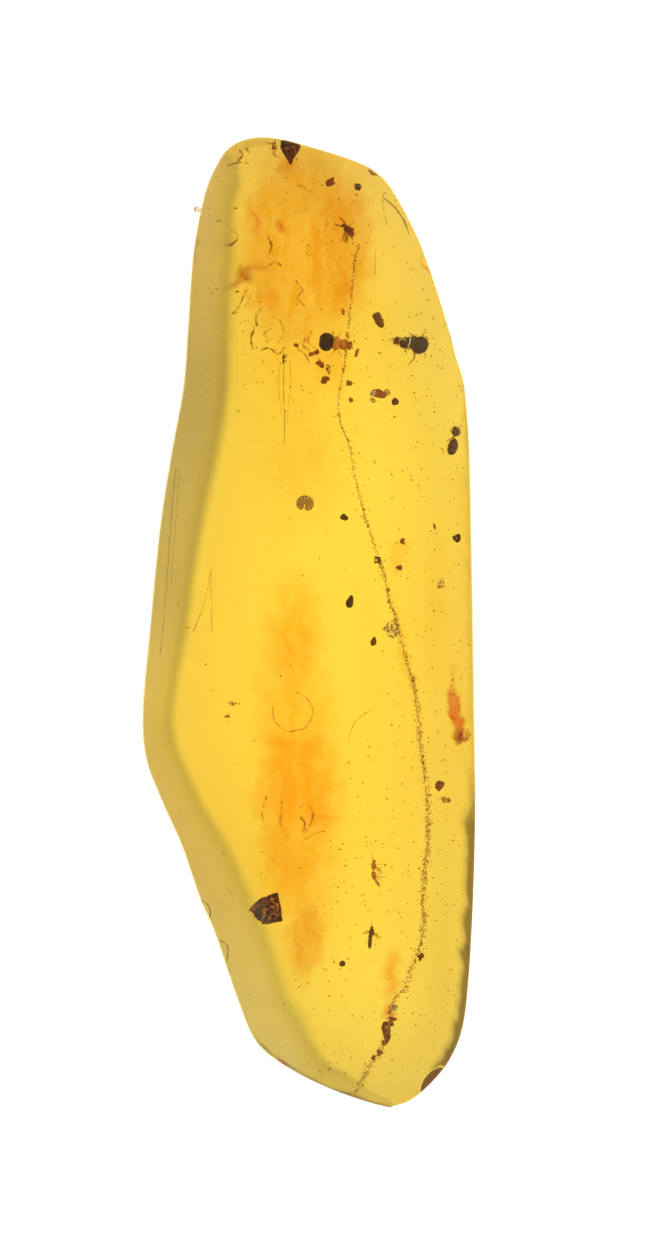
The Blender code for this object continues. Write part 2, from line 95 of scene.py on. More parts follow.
# Stains in the amber: place, half sizes, turn in degrees, fade and tint
STAINS = [
    # the golden blunt end
    ((-0.16, 16.1), (3.6, 5.6), 0, 0.5, (0.9, 0.65, 0.15)),
    ((-0.3, 7.2), (3.2, 4.4), 0, 1, (0.94, 0.83, 0.6)),
    ((-0.6, 10.94), (2.69, 2.69), 0, 0.95, (1, 0.9, 0.6)),
    ((1.01, 11.03), (1.3, 1.82), 0, 0.9, (0.97, 0.82, 0.45)),
    ((1.4, 16.36), (1.6, 3.4), -3, 0.35, (0.96, 0.84, 0.55)),
    ((-2.45, 17.45), (0.42, 1.1), 8, 0.9, (0.9, 0.62, 0.32)),
    ((-1.12, 17.1), (0.22, 0.48), -12, 0.9, (0.86, 0.52, 0.3)),
    ((-0.81, 19.92), (0.65, 0.87), 0, 0.9, (0.92, 0.62, 0.3)),
    ((-2.85, 14.8), (1.15, 0.45), 26, 0.8, (0.62, 0.32, 0.2)),
    ((-2.07, 15.28), (0.61, 0.39), 10, 0.95, (0.85, 0.55, 0.35)),
    ((-2.03, 13.85), (0.95, 0.87), 0, 0.9, (0.97, 0.78, 0.4)),
    ((-4.89, 16.23), (0.26, 1.04), 0, 0.9, (0.75, 0.45, 0.35)),
    ((5, 15.32), (0.17, 0.65), 25, 0.9, (0.88, 0.58, 0.4)),
    ((1.57, 13.98), (0.39, 2.6), 0, 1, (0.98, 0.84, 0.5)),
    # the orange column down the middle
    ((-0.47, -6.8), (2.5, 9.9), 3, 0.7, (0.95, 0.72, 0.16)),
    ((-0.64, -0.24), (1.7, 3.2), -3, 0.8, (0.97, 0.77, 0.25)),
    ((-0.38, -7.09), (2.3, 3.2), 0, 0.7, (0.97, 0.78, 0.25)),
    ((-1.07, -10.55), (1.8, 2.6), -10, 0.8, (0.98, 0.84, 0.4)),
    ((-0.21, -13.76), (1.0, 2.3), -5, 0.7, (0.91, 0.65, 0.25)),
    ((0.57, -8.47), (1.04, 0.43), 15, 0.8, (0.98, 0.84, 0.5)),
    ((-0.9, -5.18), (1.56, 0.39), -4, 0.8, (0.99, 0.86, 0.5)),
    # down the right side
    ((3.87, 2.88), (0.61, 1.13), 0, 0.95, (0.98, 0.8, 0.45)),
    ((4.04, -1.19), (0.39, 3.9), 12, 1, (0.97, 0.87, 0.6)),
    ((5.47, 0.54), (1.13, 4.98), 0, 1, (1, 0.93, 0.72)),
    ((6.47, -4.31), (0.65, 1.82), 0, 1, (0.98, 0.82, 0.5)),
    ((6.34, -3.9), (0.38, 1.7), 3, 0.6, (0.78, 0.18, 0.02)),
    ((6.5, -4.95), (0.4, 0.45), -10, 0.6, (0.45, 0.07, 0.04)),
    ((6.86, -4.83), (0.13, 0.35), -25, 0.6, (0.6, 0.2, 0.12)),
    ((6.34, -2.41), (0.15, 0.69), 0, 1, (0.95, 0.66, 0.4)),
    ((3.61, -15.24), (0.65, 1.65), -4, 0.85, (0.94, 0.62, 0.28)),
    ((3.44, -16.88), (0.39, 0.65), 0, 0.8, (0.86, 0.46, 0.25)),
    ((-1.2, -18.96), (0.39, 0.17), -28, 0.8, (0.95, 0.5, 0.2)),
    ((5.78, -15.5), (1.3, 5.63), 0, 1, (0.95, 0.94, 0.9)),
]
# Painted shade on the bevel, whose light is dimmer, and how strongly it shows at places along the
# stone
BEVEL_PAINTED_SHADE = (0.24, 0.24, 0.3)
BEVEL_PAINTED_SHADE_STRENGTHS = [(21.0, 0.72), (16.0, 0.8), (9.0, 1.0), (2.0, 0.93), (-4.0, 0.75), (-21.0, 0.72)]
# Painted shade along the ridge where the bevel meets the face
RIDGE_PAINTED_SHADE = (0.84, 0.88, 0.88)
# Painted shade along the rim, where its steep sides are seen in shadow
RIM_PAINTED_SHADE = (0.06, 0.035, 0.02)
# Painted shade in the chip, for the dim surroundings mirrored in it; the grain of resin takes part
# of it as its own brown
CHIP_SHADE_AND_GRAIN_BROWN = (0.035, 0.01, 0.004)
STREAKS = (2.0 / MM, 0.6 / MM, 0.3 / MM)
STAIN_WANDERS = (0.9 * MM, 1.3 * MM)
BEVEL_DULLNESS = 0.1
RIM_DULLNESS = 0.85
WHITE = (1.0, 1.0, 1.0, 1.0)

# How strongly and how far in the rim is darkened by painted shade, at places along the right and the
# left side, and the heights on the wall below it between which the painted shade fades in
RIGHT_RIM = [(21.0, 0.5), (11.0, 0.35), (-5.5, 0.4), (-9.0, 0.94), (-19.5, 0.94), (-20.4, 0.5)]
RIGHT_RIM_WIDTHS = [(21.0, 0.06), (11.0, 0.06), (9.0, 0.24), (-6.0, 0.26), (-9.0, 0.44),
                    (-19.3, 0.44), (-20.0, 0.1)]
LEFT_RIM = [(21.0, 0.5), (-11.0, 0.5), (-17.5, 0.6), (-19.0, 0.75)]
LEFT_RIM_WIDTHS = [(21.0, 0.06), (-11.0, 0.08), (-17.5, 0.12), (-19.0, 0.18)]
RIM_SHADE_FADES = (4.8 * MM, 6.2 * MM)

# The shell-shaped chip knocked out of the rim, and the grain of old resin stuck to the edge
CHIP_AT = (5.6, -19.98, 6.9)
CHIP_RADII = (1.3, 0.88, 0.8)
CHIP_TURN = 52.0
GRAIN_AT = (-4.84, 17.9, 4.06)
GRAIN_RADIUS = 0.15

# ---------------------------------------------------------------- what is sealed in the stone
# Shades run from 0, black-brown, through brown, red-brown, golden brown and grey-green to 1, pale.
SHADES = [
    (0.0, (0.022, 0.007, 0.005)), (0.3, (0.11, 0.04, 0.014)), (0.5, (0.24, 0.06, 0.016)),
    (0.7, (0.55, 0.26, 0.05)), (0.85, (0.2, 0.17, 0.11)), (1.0, (0.9, 0.86, 0.7)),
]

# Insects. Balls: place, half sizes, turn, shade. Lobes are ringed by grooves: two ends, greatest
# half width, rings, shade. Limbs: places along it, half thickness, shade. Wings: root, tip, half
# width. Hairs: how many, and how long.
INSECTS = {
    "beetle": {
        "balls": [((0.77, 12.2, 3.85), (0.31, 0.3, 0.33), -8, 0.0),
                  ((0.75, 12.02, 3.85), (0.31, 0.33, 0.33), -8, 0.0),
                  ((1.72, 11.94, 3.85), (0.13, 0.16, 0.13), -8, 0.5),
                  ((1.76, 12.08, 3.9), (0.045, 0.045, 0.045), 0, 0.1),
                  ((1.73, 11.8, 3.9), (0.045, 0.045, 0.045), 0, 0.1)],
        "lobes": [((1.0, 12.05, 3.84), (1.34, 12.0, 3.83), 0.31, 3, 0.7),
                  ((1.3, 12.0, 3.84), (1.65, 11.95, 3.85), 0.25, 2, 0.62)],
        "limbs": [([(1.25, 12.25, 3.75), (1.3, 12.45, 3.85), (1.4, 12.55, 3.75)], 0.018, 0.55),
                  ([(1.1, 12.28, 3.75), (1.02, 12.48, 3.85), (0.98, 12.6, 3.75)], 0.018, 0.55),
                  ([(1.25, 11.72, 3.75), (1.35, 11.52, 3.85), (1.46, 11.45, 3.75)], 0.018, 0.55),
                  ([(1.1, 11.76, 3.75), (1.02, 11.6, 3.85), (0.92, 11.5, 3.75)], 0.018, 0.55),
                  ([(1.5, 12.15, 3.75), (1.62, 12.3, 3.8), (1.76, 12.3, 3.75)], 0.016, 0.55),
                  ([(1.5, 11.78, 3.75), (1.62, 11.62, 3.8), (1.74, 11.58, 3.75)], 0.016, 0.55),
                  ([(1.8, 12.02, 3.9), (1.92, 12.06, 3.95), (2.0, 12.13, 3.9)], 0.012, 0.5)],
        "wings": [], "hairs": (40, 0.05),
    },
    "fly": {
        "balls": [((4.47, 11.84, 3.65), (0.33, 0.37, 0.33), 0, 0.02),
                  ((4.25, 11.95, 3.75), (0.2, 0.3, 0.2), 10, 0.1),
                  ((3.62, 12.1, 3.65), (0.11, 0.13, 0.11), 0, 0.3),
                  ((3.6, 12.2, 3.7), (0.07, 0.06, 0.07), 0, 0.3),
                  ((3.56, 12.02, 3.7), (0.07, 0.06, 0.07), 0, 0.3)],
        "lobes": [((4.22, 11.9, 3.65), (3.72, 12.04, 3.65), 0.25, 3, 0.14)],
        "limbs": [([(4.3, 11.55, 3.6), (4.29, 11.3, 3.65), (4.12, 11.06, 3.6)], 0.035, 0.45),
                  ([(4.05, 11.8, 3.6), (3.96, 11.6, 3.65), (4.0, 11.48, 3.6)], 0.02, 0.35),
                  ([(4.6, 11.55, 3.6), (4.72, 11.4, 3.65), (4.66, 11.28, 3.6)], 0.018, 0.35),
                  ([(4.2, 12.15, 3.6), (4.12, 12.33, 3.65), (3.98, 12.4, 3.6)], 0.02, 0.35),
                  ([(4.5, 12.15, 3.6), (4.58, 12.33, 3.65), (4.7, 12.38, 3.6)], 0.02, 0.35),
                  ([(4.13, 12.18, 4.02), (4.11, 11.95, 4.05), (4.05, 11.72, 4.0)], 0.022, 1.0),
                  ([(3.95, 12.1, 3.98), (3.83, 12.17, 3.98), (3.72, 12.12, 3.95),
                    (3.72, 12.02, 3.93)], 0.014, 0.95),
                  ([(3.52, 12.14, 3.65), (3.42, 12.2, 3.66), (3.34, 12.18, 3.62)], 0.012, 0.55)],
        "wings": [((4.25, 12.0, 3.9), (4.82, 12.14, 3.85), 0.13),
                  ((4.2, 11.8, 3.9), (4.75, 11.6, 3.8), 0.12)],
        "hairs": (420, 0.1),
    },
    "ant": {
        "balls": [((6.07, 8.13, 3.75), (0.17, 0.2, 0.15), 20, 0.28),
                  ((6.0, 8.3, 3.75), (0.1, 0.06, 0.08), 20, 0.2),
                  ((5.99, 7.9, 3.75), (0.06, 0.07, 0.07), 0, 0.6)],
        "lobes": [((6.0, 7.84, 3.74), (5.96, 7.18, 3.72), 0.2, 4, 0.2)],
        "limbs": [([(6.03, 8.0, 3.7), (6.2, 8.05, 3.8), (6.28, 8.08, 3.7)], 0.03, 0.3),
                  ([(6.0, 7.95, 3.7), (5.87, 7.85, 3.8), (5.74, 7.76, 3.7)], 0.028, 0.3),
                  ([(5.96, 7.84, 3.7), (5.84, 7.6, 3.8), (5.79, 7.36, 3.68)], 0.02, 0.3),
                  ([(6.05, 7.86, 3.7), (6.16, 7.66, 3.8), (6.17, 7.45, 3.68)], 0.018, 0.3),
                  ([(5.97, 8.05, 3.7), (5.86, 8.18, 3.78), (5.83, 8.3, 3.7)], 0.018, 0.3),
                  ([(6.12, 8.28, 3.78), (6.25, 8.38, 3.8), (6.33, 8.34, 3.78)], 0.015, 0.3)],
        "wings": [], "hairs": (50, 0.05),
    },
    "gnat": {
        "balls": [((1.54, 16.93, 3.7), (0.17, 0.12, 0.13), 128, 0.3),
                  ((1.66, 16.86, 3.72), (0.1, 0.11, 0.1), 0, 0.3),
                  ((1.4, 17.1, 3.68), (0.08, 0.09, 0.08), 128, 0.38)],
        "lobes": [((1.62, 16.84, 3.7), (1.74, 16.58, 3.68), 0.1, 3, 0.45)],
        "limbs": [([(1.42, 17.22, 3.7), (1.32, 17.34, 3.75), (1.22, 17.46, 3.7)], 0.032, 0.5),
                  ([(1.34, 17.06, 3.7), (1.2, 17.12, 3.75), (1.07, 17.2, 3.7)], 0.042, 0.55),
                  ([(1.5, 16.78, 3.65), (1.44, 16.6, 3.72), (1.37, 16.42, 3.65)], 0.026, 0.6),
                  ([(1.56, 16.74, 3.65), (1.52, 16.5, 3.72), (1.58, 16.3, 3.65)], 0.03, 0.6),
                  ([(1.66, 16.7, 3.65), (1.72, 16.55, 3.72), (1.75, 16.42, 3.65)], 0.03, 0.5),
                  ([(1.6, 17.08, 3.7), (1.7, 17.16, 3.74), (1.74, 17.28, 3.7)], 0.014, 0.6)],
        "wings": [((1.5, 16.9, 3.85), (1.5, 16.35, 3.82), 0.1)], "hairs": (40, 0.05),
    },
    "slender_wasp": {
        "balls": [((2.72, -10.46, 3.6), (0.09, 0.13, 0.09), 0, 0.6),
                  ((2.76, -10.3, 3.6), (0.07, 0.08, 0.07), 0, 0.6),
                  ((3.22, -10.45, 3.62), (0.05, 0.045, 0.05), 0, 0.5)],
        "lobes": [((2.73, -10.32, 3.6), (2.73, -10.7, 3.6), 0.09, 2, 0.58),
                  ((2.71, -10.72, 3.6), (2.78, -11.1, 3.6), 0.1, 3, 0.55),
                  ((2.77, -11.05, 3.6), (2.99, -11.38, 3.6), 0.06, 3, 0.62)],
        "limbs": [([(2.71, -10.28, 3.62), (2.69, -10.08, 3.64), (2.7, -9.88, 3.62)], 0.02, 0.66),
                  ([(2.86, -10.98, 3.58), (3.1, -10.97, 3.64), (3.28, -10.99, 3.58)], 0.024, 0.62),
                  ([(2.76, -10.42, 3.58), (3.0, -10.43, 3.64), (3.2, -10.45, 3.6)], 0.012, 0.66),
                  ([(2.8, -10.8, 3.58), (2.95, -10.88, 3.64), (3.0, -11.0, 3.58)], 0.014, 0.66),
                  ([(2.8, -11.1, 3.58), (3.0, -11.08, 3.6), (3.06, -11.12, 3.58)], 0.014, 0.66)],
        "wings": [((2.76, -10.45, 3.7), (3.1, -10.85, 3.68), 0.08)], "hairs": (20, 0.04),
    },
    "midge": {
        "balls": [((2.65, -13.33, 3.7), (0.12, 0.17, 0.13), -10, 0.3),
                  ((2.6, -13.52, 3.7), (0.09, 0.12, 0.1), 0, 0.25),
                  ((2.66, -13.14, 3.7), (0.07, 0.08, 0.07), 0, 0.4)],
        "lobes": [((2.6, -13.5, 3.7), (2.56, -14.06, 3.68), 0.09, 4, 0.28)],
        "limbs": [([(2.66, -13.1, 3.7), (2.66, -12.98, 3.74), (2.64, -12.86, 3.7)], 0.02, 0.6),
                  ([(2.58, -13.35, 3.68), (2.48, -13.25, 3.74), (2.42, -13.3, 3.68)], 0.014, 0.6),
                  ([(2.72, -13.4, 3.68), (2.84, -13.42, 3.74), (2.88, -13.5, 3.68)], 0.014, 0.6),
                  ([(2.56, -13.6, 3.68), (2.46, -13.7, 3.74), (2.42, -13.82, 3.68)], 0.012, 0.6)],
        "wings": [((2.68, -13.35, 3.8), (3.02, -13.6, 3.76), 0.09),
                  ((2.56, -13.3, 3.8), (2.28, -13.4, 3.76), 0.06)],
        "hairs": (20, 0.04),
    },
}

# The larva lies curled on itself
LARVA_AT = (-0.16, 5.09, 3.7)
LARVA_RING = 0.19
LARVA_THICKNESS = 0.2
LARVA_GAP = 22.0
LARVA_STEPS = 60
LARVA_SEGMENTS = 12

# Bits of bark: outline, height of the underside, thickness
BARK_OUTLINES = {
    "bark_chip": ([(-2.36, -12.28), (-2.0, -11.85), (-1.33, -11.62), (-1.2, -12.2), (-1.12, -12.85),
                   (-1.75, -12.95), (-2.02, -12.68)], 5.6, 0.6),
    "bark_wedge": ([(-1.25, 20.76), (-0.34, 20.56), (-0.45, 20.3), (-0.66, 20.02), (-0.77, 19.7),
                    (-1.03, 20.15), (-1.2, 20.45)], 4.2, 0.6),
}

# Drops of dark resin: upper end, lower end, greatest half thickness
RESIN_DROPS = {
    "upper_resin_drop": ((2.76, 13.33, 3.75), (3.06, 12.68, 3.7), 0.16),
    "lower_resin_drop": ((3.22, -17.2, 3.7), (3.36, -18.1, 3.7), 0.18),
}

# Pellets: place, half length, half width, turn, shade
PELLETS = [
    ((1.74, 0.89, 3.8), 0.26, 0.15, 80, 0.12), ((2.7, -0.8, 3.7), 0.2, 0.13, 75, 0.3),
    ((1.48, 4.53, 3.75), 0.18, 0.13, 150, 0.2), ((3.63, 9.53, 3.6), 0.18, 0.14, 100, 0.25),
    ((2.96, 9.86, 3.7), 0.26, 0.17, 170, 0.45), ((6.25, 3.62, 3.7), 0.17, 0.16, 30, 0.15),
    ((5.49, -7.03, 3.7), 0.18, 0.16, 60, 0.42), ((2.42, 19.31, 3.7), 0.36, 0.16, 160, 0.8),
]

# Larger specks: place, half width, half length, turn, shade
SPECKS = [
    (0.34, 11.68, 0.11, 0.13, 0, 0.5), (0.14, 11.55, 0.11, 0.087, 20, 0.5),
    (0.43, 11.18, 0.13, 0.11, 30, 0.5), (0.56, 11.07, 0.11, 0.13, 0, 0.5),
    (0.83, 10.9, 0.11, 0.2, -20, 0.53), (0.7, 10.47, 0.15, 0.17, -30, 0.45),
    (1.7, 10.29, 0.11, 0.11, 20, 0.5), (-0.51, 11.94, 0.087, 0.11, 0, 0.5),
    (2.03, 11.64, 0.065, 0.15, -15, 0.5), (1.46, 13.37, 0.065, 0.13, 0, 0.6),
    (1.79, 9.6, 0.087, 0.11, 0, 0.5), (-1.03, 11.33, 0.087, 0.2, -15, 0.15),
    (1.87, 18.7, 0.11, 0.17, 20, 0.15), (0.79, 18.96, 0.13, 0.15, 0, 0.45),
    (2.91, 2.67, 0.15, 0.2, 0, 0.25), (3.98, 3.49, 0.11, 0.13, 0, 0.48),
    (3.78, 2.36, 0.11, 0.13, 0, 0.48), (5.39, 4.1, 0.043, 0.13, 10, 0.35),
    (5.65, 1.63, 0.15, 0.28, 15, 0.85), (3.57, -0.28, 0.35, 0.37, 20, 0.85),
    (5.73, -7.65, 0.11, 0.13, 30, 0.65), (5.49, -7.03, 0.15, 0.15, 0, 0.35),
    (-3.11, -3.49, 0.24, 0.087, -10, 0.7), (-3.41, -4.05, 0.11, 0.065, 0, 0.6),
    (1.44, -14.72, 0.13, 0.11, 20, 0.25), (4.69, -14.41, 0.11, 0.13, 0, 0.25),
    (2.05, -20.05, 0.13, 0.11, 0, 0.25), (1.7, -20.26, 0.11, 0.087, 0, 0.3),
    (-0.1, -19.14, 0.11, 0.065, 20, 0.45), (3.65, -16.58, 0.13, 0.11, 0, 0.85),
    (2.98, -18.53, 0.11, 0.11, 0, 0.35), (2.78, -18.75, 0.11, 0.087, 0, 0.35),
    (3.61, -17.08, 0.11, 0.11, 0, 0.45), (3.44, -16.8, 0.13, 0.043, 30, 0.45),
    (5.86, -7.65, 0.087, 0.11, 0, 0.6), (2.65, 9.56, 0.11, 0.087, 0, 0.85),
    (3.22, 9.9, 0.13, 0.13, 0, 0.85), (2.74, 9.9, 0.13, 0.13, 0, 0.85),
    (6.86, -14.15, 0.11, 0.15, 0, 0.25), (-1.46, 20.48, 0.11, 0.087, 0, 0.5),
    (3.48, -17.32, 0.11, 0.11, 0, 0.4), (3.22, -18.1, 0.13, 0.13, 0, 0.4),
]

# The dusty fissure that winds down the stone
FISSURE = [
    (2.0, 16.23), (1.83, 14.41), (1.66, 12.5), (1.48, 10.86), (1.27, 9.64), (1.35, 8.56),
    (1.7, 7.74), (1.92, 6.44), (2.09, 5.74), (2.35, 4.62), (2.61, 3.79), (2.87, 2.97),
    (3.22, 1.89), (3.44, 0.89), (3.65, 0.33), (3.91, -0.8), (4.19, -1.89), (4.43, -2.58),
    (4.61, -3.88), (4.69, -4.88), (4.82, -5.87), (4.95, -6.87), (5.04, -8.34), (5.04, -9.64),
    (4.94, -10.42), (4.82, -11.85), (4.87, -12.76), (4.82, -13.46), (4.65, -14.2),
    (4.35, -14.93), (4.09, -15.76), (3.61, -16.28), (3.3, -17.66), (3.04, -18.53),
    (2.78, -18.79), (2.35, -19.61), (2.05, -20.05),
]

# Fine cracks, folds and threads: places along each, height, half thickness, shade
THREADS = [
    ([(3.17, 18.27), (3.61, 17.92), (3.96, 17.49), (4.17, 17.06), (4.26, 16.75)], 5.5, 0.03, 0.3),
    ([(3.17, 18.53), (3.09, 18.05), (3.26, 17.1)], 5.5, 0.016, 0.4),
    ([(2.72, 15.97), (2.72, 14.8)], 5, 0.014, 0.6),
    ([(2.7, -3.77), (2.31, -3.97), (1.96, -4.31), (1.79, -4.7), (1.7, -5.11)], 5, 0.016, 0.66),
    ([(-4.62, -12.03), (-4.4, -12.16), (-4.25, -12.46), (-4.27, -12.81)], 0, 0.03, 0.2),
    ([(-3.8, -13.76), (-3.5, -13.98), (-3.5, -14.41), (-3.56, -14.72)], 0, 0.03, 0.25),
    ([(-5.75, 6.61), (-5.93, 4.44), (-6.14, 1.41), (-6.4, -1.41)], 0, 0.016, 0.35),
    ([(-5.58, 6.35), (-5.75, 4.01), (-6.01, 0.54)], 0, 0.01, 0.5),
    ([(-1.03, 11.59), (-1.07, 10.29), (-1.03, 8.78), (-1.03, 7.65)], 5.2, 0.016, 0.45),
    ([(-0.81, 11.29), (-0.77, 10.29), (-0.94, 8.56)], 5.2, 0.012, 0.6),
    ([(-1.2, 11.2), (-1.29, 10.29), (-1.16, 8.99)], 5.2, 0.012, 0.6),
    ([(-4.15, 2.28), (-4.41, 0.98), (-4.84, -0.41)], 5.6, 0.014, 0.7),
    ([(-4.15, 2.28), (-4.15, 0.98), (-4.11, -0.46)], 5.6, 0.014, 0.7),
    ([(-3.5, -11.51), (-3.28, -11.77), (-3.28, -12.16), (-3.59, -12.37)], 6.2, 0.014, 0.6),
]
# The crack that runs most of the way round a ring: middle, radius, height, half thickness, shade;
# and where it starts and how far round it runs, in degrees
RING_CRACK = ((-0.68, -3.84), 0.845, 5.2, 0.024, 0.62)
RING_CRACK_TURN = (168, 275)

# How many grains are tried along the fissure and all over the stone, and poured at a time
FISSURE_GRAINS = 3600
STRAY_GRAINS = 2300
HANDFUL = 100

# Folds in old flow films, and how high each lies
FOLDS = [
    ([(-2.63, 14.33), (-2.81, 13.98), (-2.98, 13.54), (-3.07, 13.28)], 5),
    ([(-2.46, 14.15), (-2.55, 13.85), (-2.76, 13.59)], 5),
    ([(-2.59, 13.02), (-2.33, 12.68), (-2.46, 12.24), (-2.37, 11.72)], 5),
    ([(-2.03, 13.54), (-2.24, 13.2), (-2.2, 12.76)], 5.2),
    ([(-2.03, 11.72), (-1.68, 11.81), (-1.29, 11.55), (-1.03, 11.85)], 5),
    ([(-1.68, 13.2), (-1.25, 13.02), (-1.07, 12.5), (-1.29, 12.03)], 5.2),
    ([(-1.59, 12.68), (-1.9, 12.42), (-1.77, 12.03)], 5),
    ([(-0.55, 14.72), (-0.25, 14.33), (-0.47, 13.98), (-0.16, 13.63)], 5.2),
    ([(-1.77, 16.67), (-1.59, 16.23), (-1.72, 15.8)], 5.2),
    ([(-3.15, 16.93), (-3.02, 16.58), (-3.2, 16.23)], 5.2),
    ([(-1.85, 15.28), (-1.42, 15.54), (-1.16, 15.37)], 5.2),
    ([(-0.38, 12.68), (-0.12, 12.33), (-0.25, 11.94), (0.05, 11.72)], 4.6),
    ([(0.14, 12.59), (-0.03, 12.11), (0.27, 11.81)], 4.6),
    ([(-0.55, 11.81), (-0.16, 11.55), (0.05, 11.12)], 4.6),
    ([(-0.6, 18.75), (-0.29, 18.83), (-0.03, 18.57)], 5.2),
    ([(-0.38, -7.95), (-0.08, -7.82), (0.18, -8.21), (0.01, -8.82), (-0.34, -9.25)], 4.8),
    ([(-0.38, -8.34), (-0.16, -8.65), (-0.25, -9.08)], 4.8),
    ([(-1.77, -7.48), (-1.98, -8.21), (-1.77, -8.99)], 4.6),
    ([(-1.12, -7.69), (-1.2, -8.56), (-0.9, -9.17)], 4.6),
    ([(-0.16, -9.34), (0.27, -9.08), (0.7, -8.99)], 4.8),
    ([(-2.98, 20.39), (-2.85, 20.13), (-3.07, 19.87)], 0), ([(-2.72, 20.48), (-2.55, 20.22)], 0),
    ([(-3.5, 19.7), (-2.98, 19.83), (-2.55, 19.79)], 0),
    ([(-1.59, 20.65), (-1.38, 20.48), (-1.51, 20.22), (-1.25, 20.05)], 0),
    ([(-1.85, 20.78), (-1.64, 20.61)], 0),
]

# ---------------------------------------------------------------- the light and the camera
CAMERA_HEIGHT = 0.45
CAMERA_AIM = (0.66, -0.065)
FRAME_HEIGHT = 54.09 * MM
FLOOR_SIZE = 1.2
FLOOR_DROP = 0.03 * MM
WINDOW_AT = (0.25, -0.12, 0.42)
WINDOW_SIZE = (0.2, 0.2)
WINDOW_POWER = 0.4
WALL_LIGHT = 2.22
OVERHEAD_LIGHT = 1.0


def feed(tree, socket, value):
    """Give a socket its plain value, or link it to the output that feeds it."""
    if isinstance(value, bpy.types.NodeSocket):
        tree.links.new(value, socket)
    else:
        socket.default_value = value


def add_node(tree, kind, values=None, **settings):
    """Add a shader node with its settings, and feed its inputs."""
    made = tree.nodes.new(kind)
    for name, value in settings.items():
        setattr(made, name, value)
    for name, value in (values or {}).items():
        feed(tree, made.inputs[name], value)
    return made


def number_math(tree, operation, *values):
    """Return the result of a Math node."""
    return add_node(tree, "ShaderNodeMath", dict(enumerate(values)), operation=operation).outputs[0]


def vector_math(tree, operation, *values):
    """Return the vector from a Vector Math node."""
    return add_node(tree, "ShaderNodeVectorMath", dict(enumerate(values)),
                    operation=operation).outputs[0]


def own_place(tree):
    """Return each point's place on its own piece."""
    return add_node(tree, "ShaderNodeTexCoord").outputs["Object"]


def mark_of(tree, name):
    """Return the value that each point or face of the piece is marked with."""
    return add_node(tree, "ShaderNodeAttribute", attribute_name=name).outputs["Fac"]


def ramp_of(tree, value, stops):
    """Return the colour that a ramp of (position, colour) stops gives the value."""
    ramp = add_node(tree, "ShaderNodeValToRGB", {"Fac": value})
    elements = ramp.color_ramp.elements
    for index, (position, colour) in enumerate(stops):
        stop = elements[index] if index < 2 else elements.new(position)
        stop.position = position
        stop.color = (*colour, 1.0)
    return ramp.outputs["Color"]


def new_material(name):
    """Return a new node material and its Principled shader."""
    made = bpy.data.materials.new(name)
    made.use_nodes = True
    return made, made.node_tree.nodes["Principled BSDF"]


def new_group(name, inputs, outputs):
    """Return a new shader node group, what it is given and what it gives out."""
    group = bpy.data.node_groups.new(name, "ShaderNodeTree")
    for socket, kind in inputs:
        group.interface.new_socket(socket, in_out="INPUT", socket_type="NodeSocket" + kind)
    for socket, kind in outputs:
        group.interface.new_socket(socket, in_out="OUTPUT", socket_type="NodeSocket" + kind)
    return (group, group.nodes.new("NodeGroupInput").outputs,
            group.nodes.new("NodeGroupOutput").inputs)


def soft_patch_group():
    """Group: a streaky mask that is on in the middle of an oval patch and fades out at its edge."""
    group, given, out = new_group(
        "soft patch",
        [("Vector", "Vector"), ("Place", "Vector"), ("Half Size", "Vector"), ("Turn", "Float"),
         ("Fade", "Float")],
        [("Mask", "Float")])
    turned = add_node(group, "ShaderNodeVectorRotate",
                      {"Vector": given["Vector"], "Center": given["Place"],
                       "Angle": given["Turn"]}, rotation_type="Z_AXIS")
    away = vector_math(group, "SUBTRACT", turned.outputs["Vector"], given["Place"])
    shrunk = vector_math(group, "DIVIDE", away, given["Half Size"])
    reach = add_node(group, "ShaderNodeVectorMath", {0: shrunk}, operation="LENGTH")
    mask = add_node(group, "ShaderNodeMapRange",
                    {"Value": reach.outputs["Value"], "To Min": 1.0, "To Max": 0.0,
                     "From Min": number_math(group, "SUBTRACT", 1.0, given["Fade"])},
                    interpolation_type="SMOOTHSTEP")
    streaks = vector_math(group, "MULTIPLY", given["Vector"], STREAKS)
    cloud = add_node(group, "ShaderNodeTexNoise",
                     {"Vector": streaks, "Scale": 1.0, "Detail": 5.0, "Roughness": 0.6})
    blotch = add_node(group, "ShaderNodeMapRange",
                      {"Value": cloud.outputs["Fac"], "From Min": 0.3, "From Max": 0.58,
                       "To Min": 0.6})
    feed(group, out["Mask"],
         number_math(group, "MULTIPLY", mask.outputs["Result"], blotch.outputs["Result"]))
    return group


def wandering_place(tree, size, amount):
    """Return each point's place pushed about by noise of that size, so that edges wander."""
    place = own_place(tree)
    cloud = add_node(tree, "ShaderNodeTexNoise",
                     {"Vector": place, "Scale": 1 / size, "Detail": 3.0})
    centred = vector_math(tree, "SUBTRACT", cloud.outputs["Color"], (0.5, 0.5, 0.5))
    scaled = add_node(tree, "ShaderNodeVectorMath", {0: centred, "Scale": amount},
                      operation="SCALE")
    return vector_math(tree, "ADD", place, scaled.outputs["Vector"])


def tinted(tree, colour, mask, tint):
    """Multiply a colour by a tint where the mask is on, and return the new colour."""
    return add_node(tree, "ShaderNodeMix", {"Factor": mask, 6: colour, 7: (*tint, 1.0)},
                    data_type="RGBA", blend_type="MULTIPLY").outputs[2]


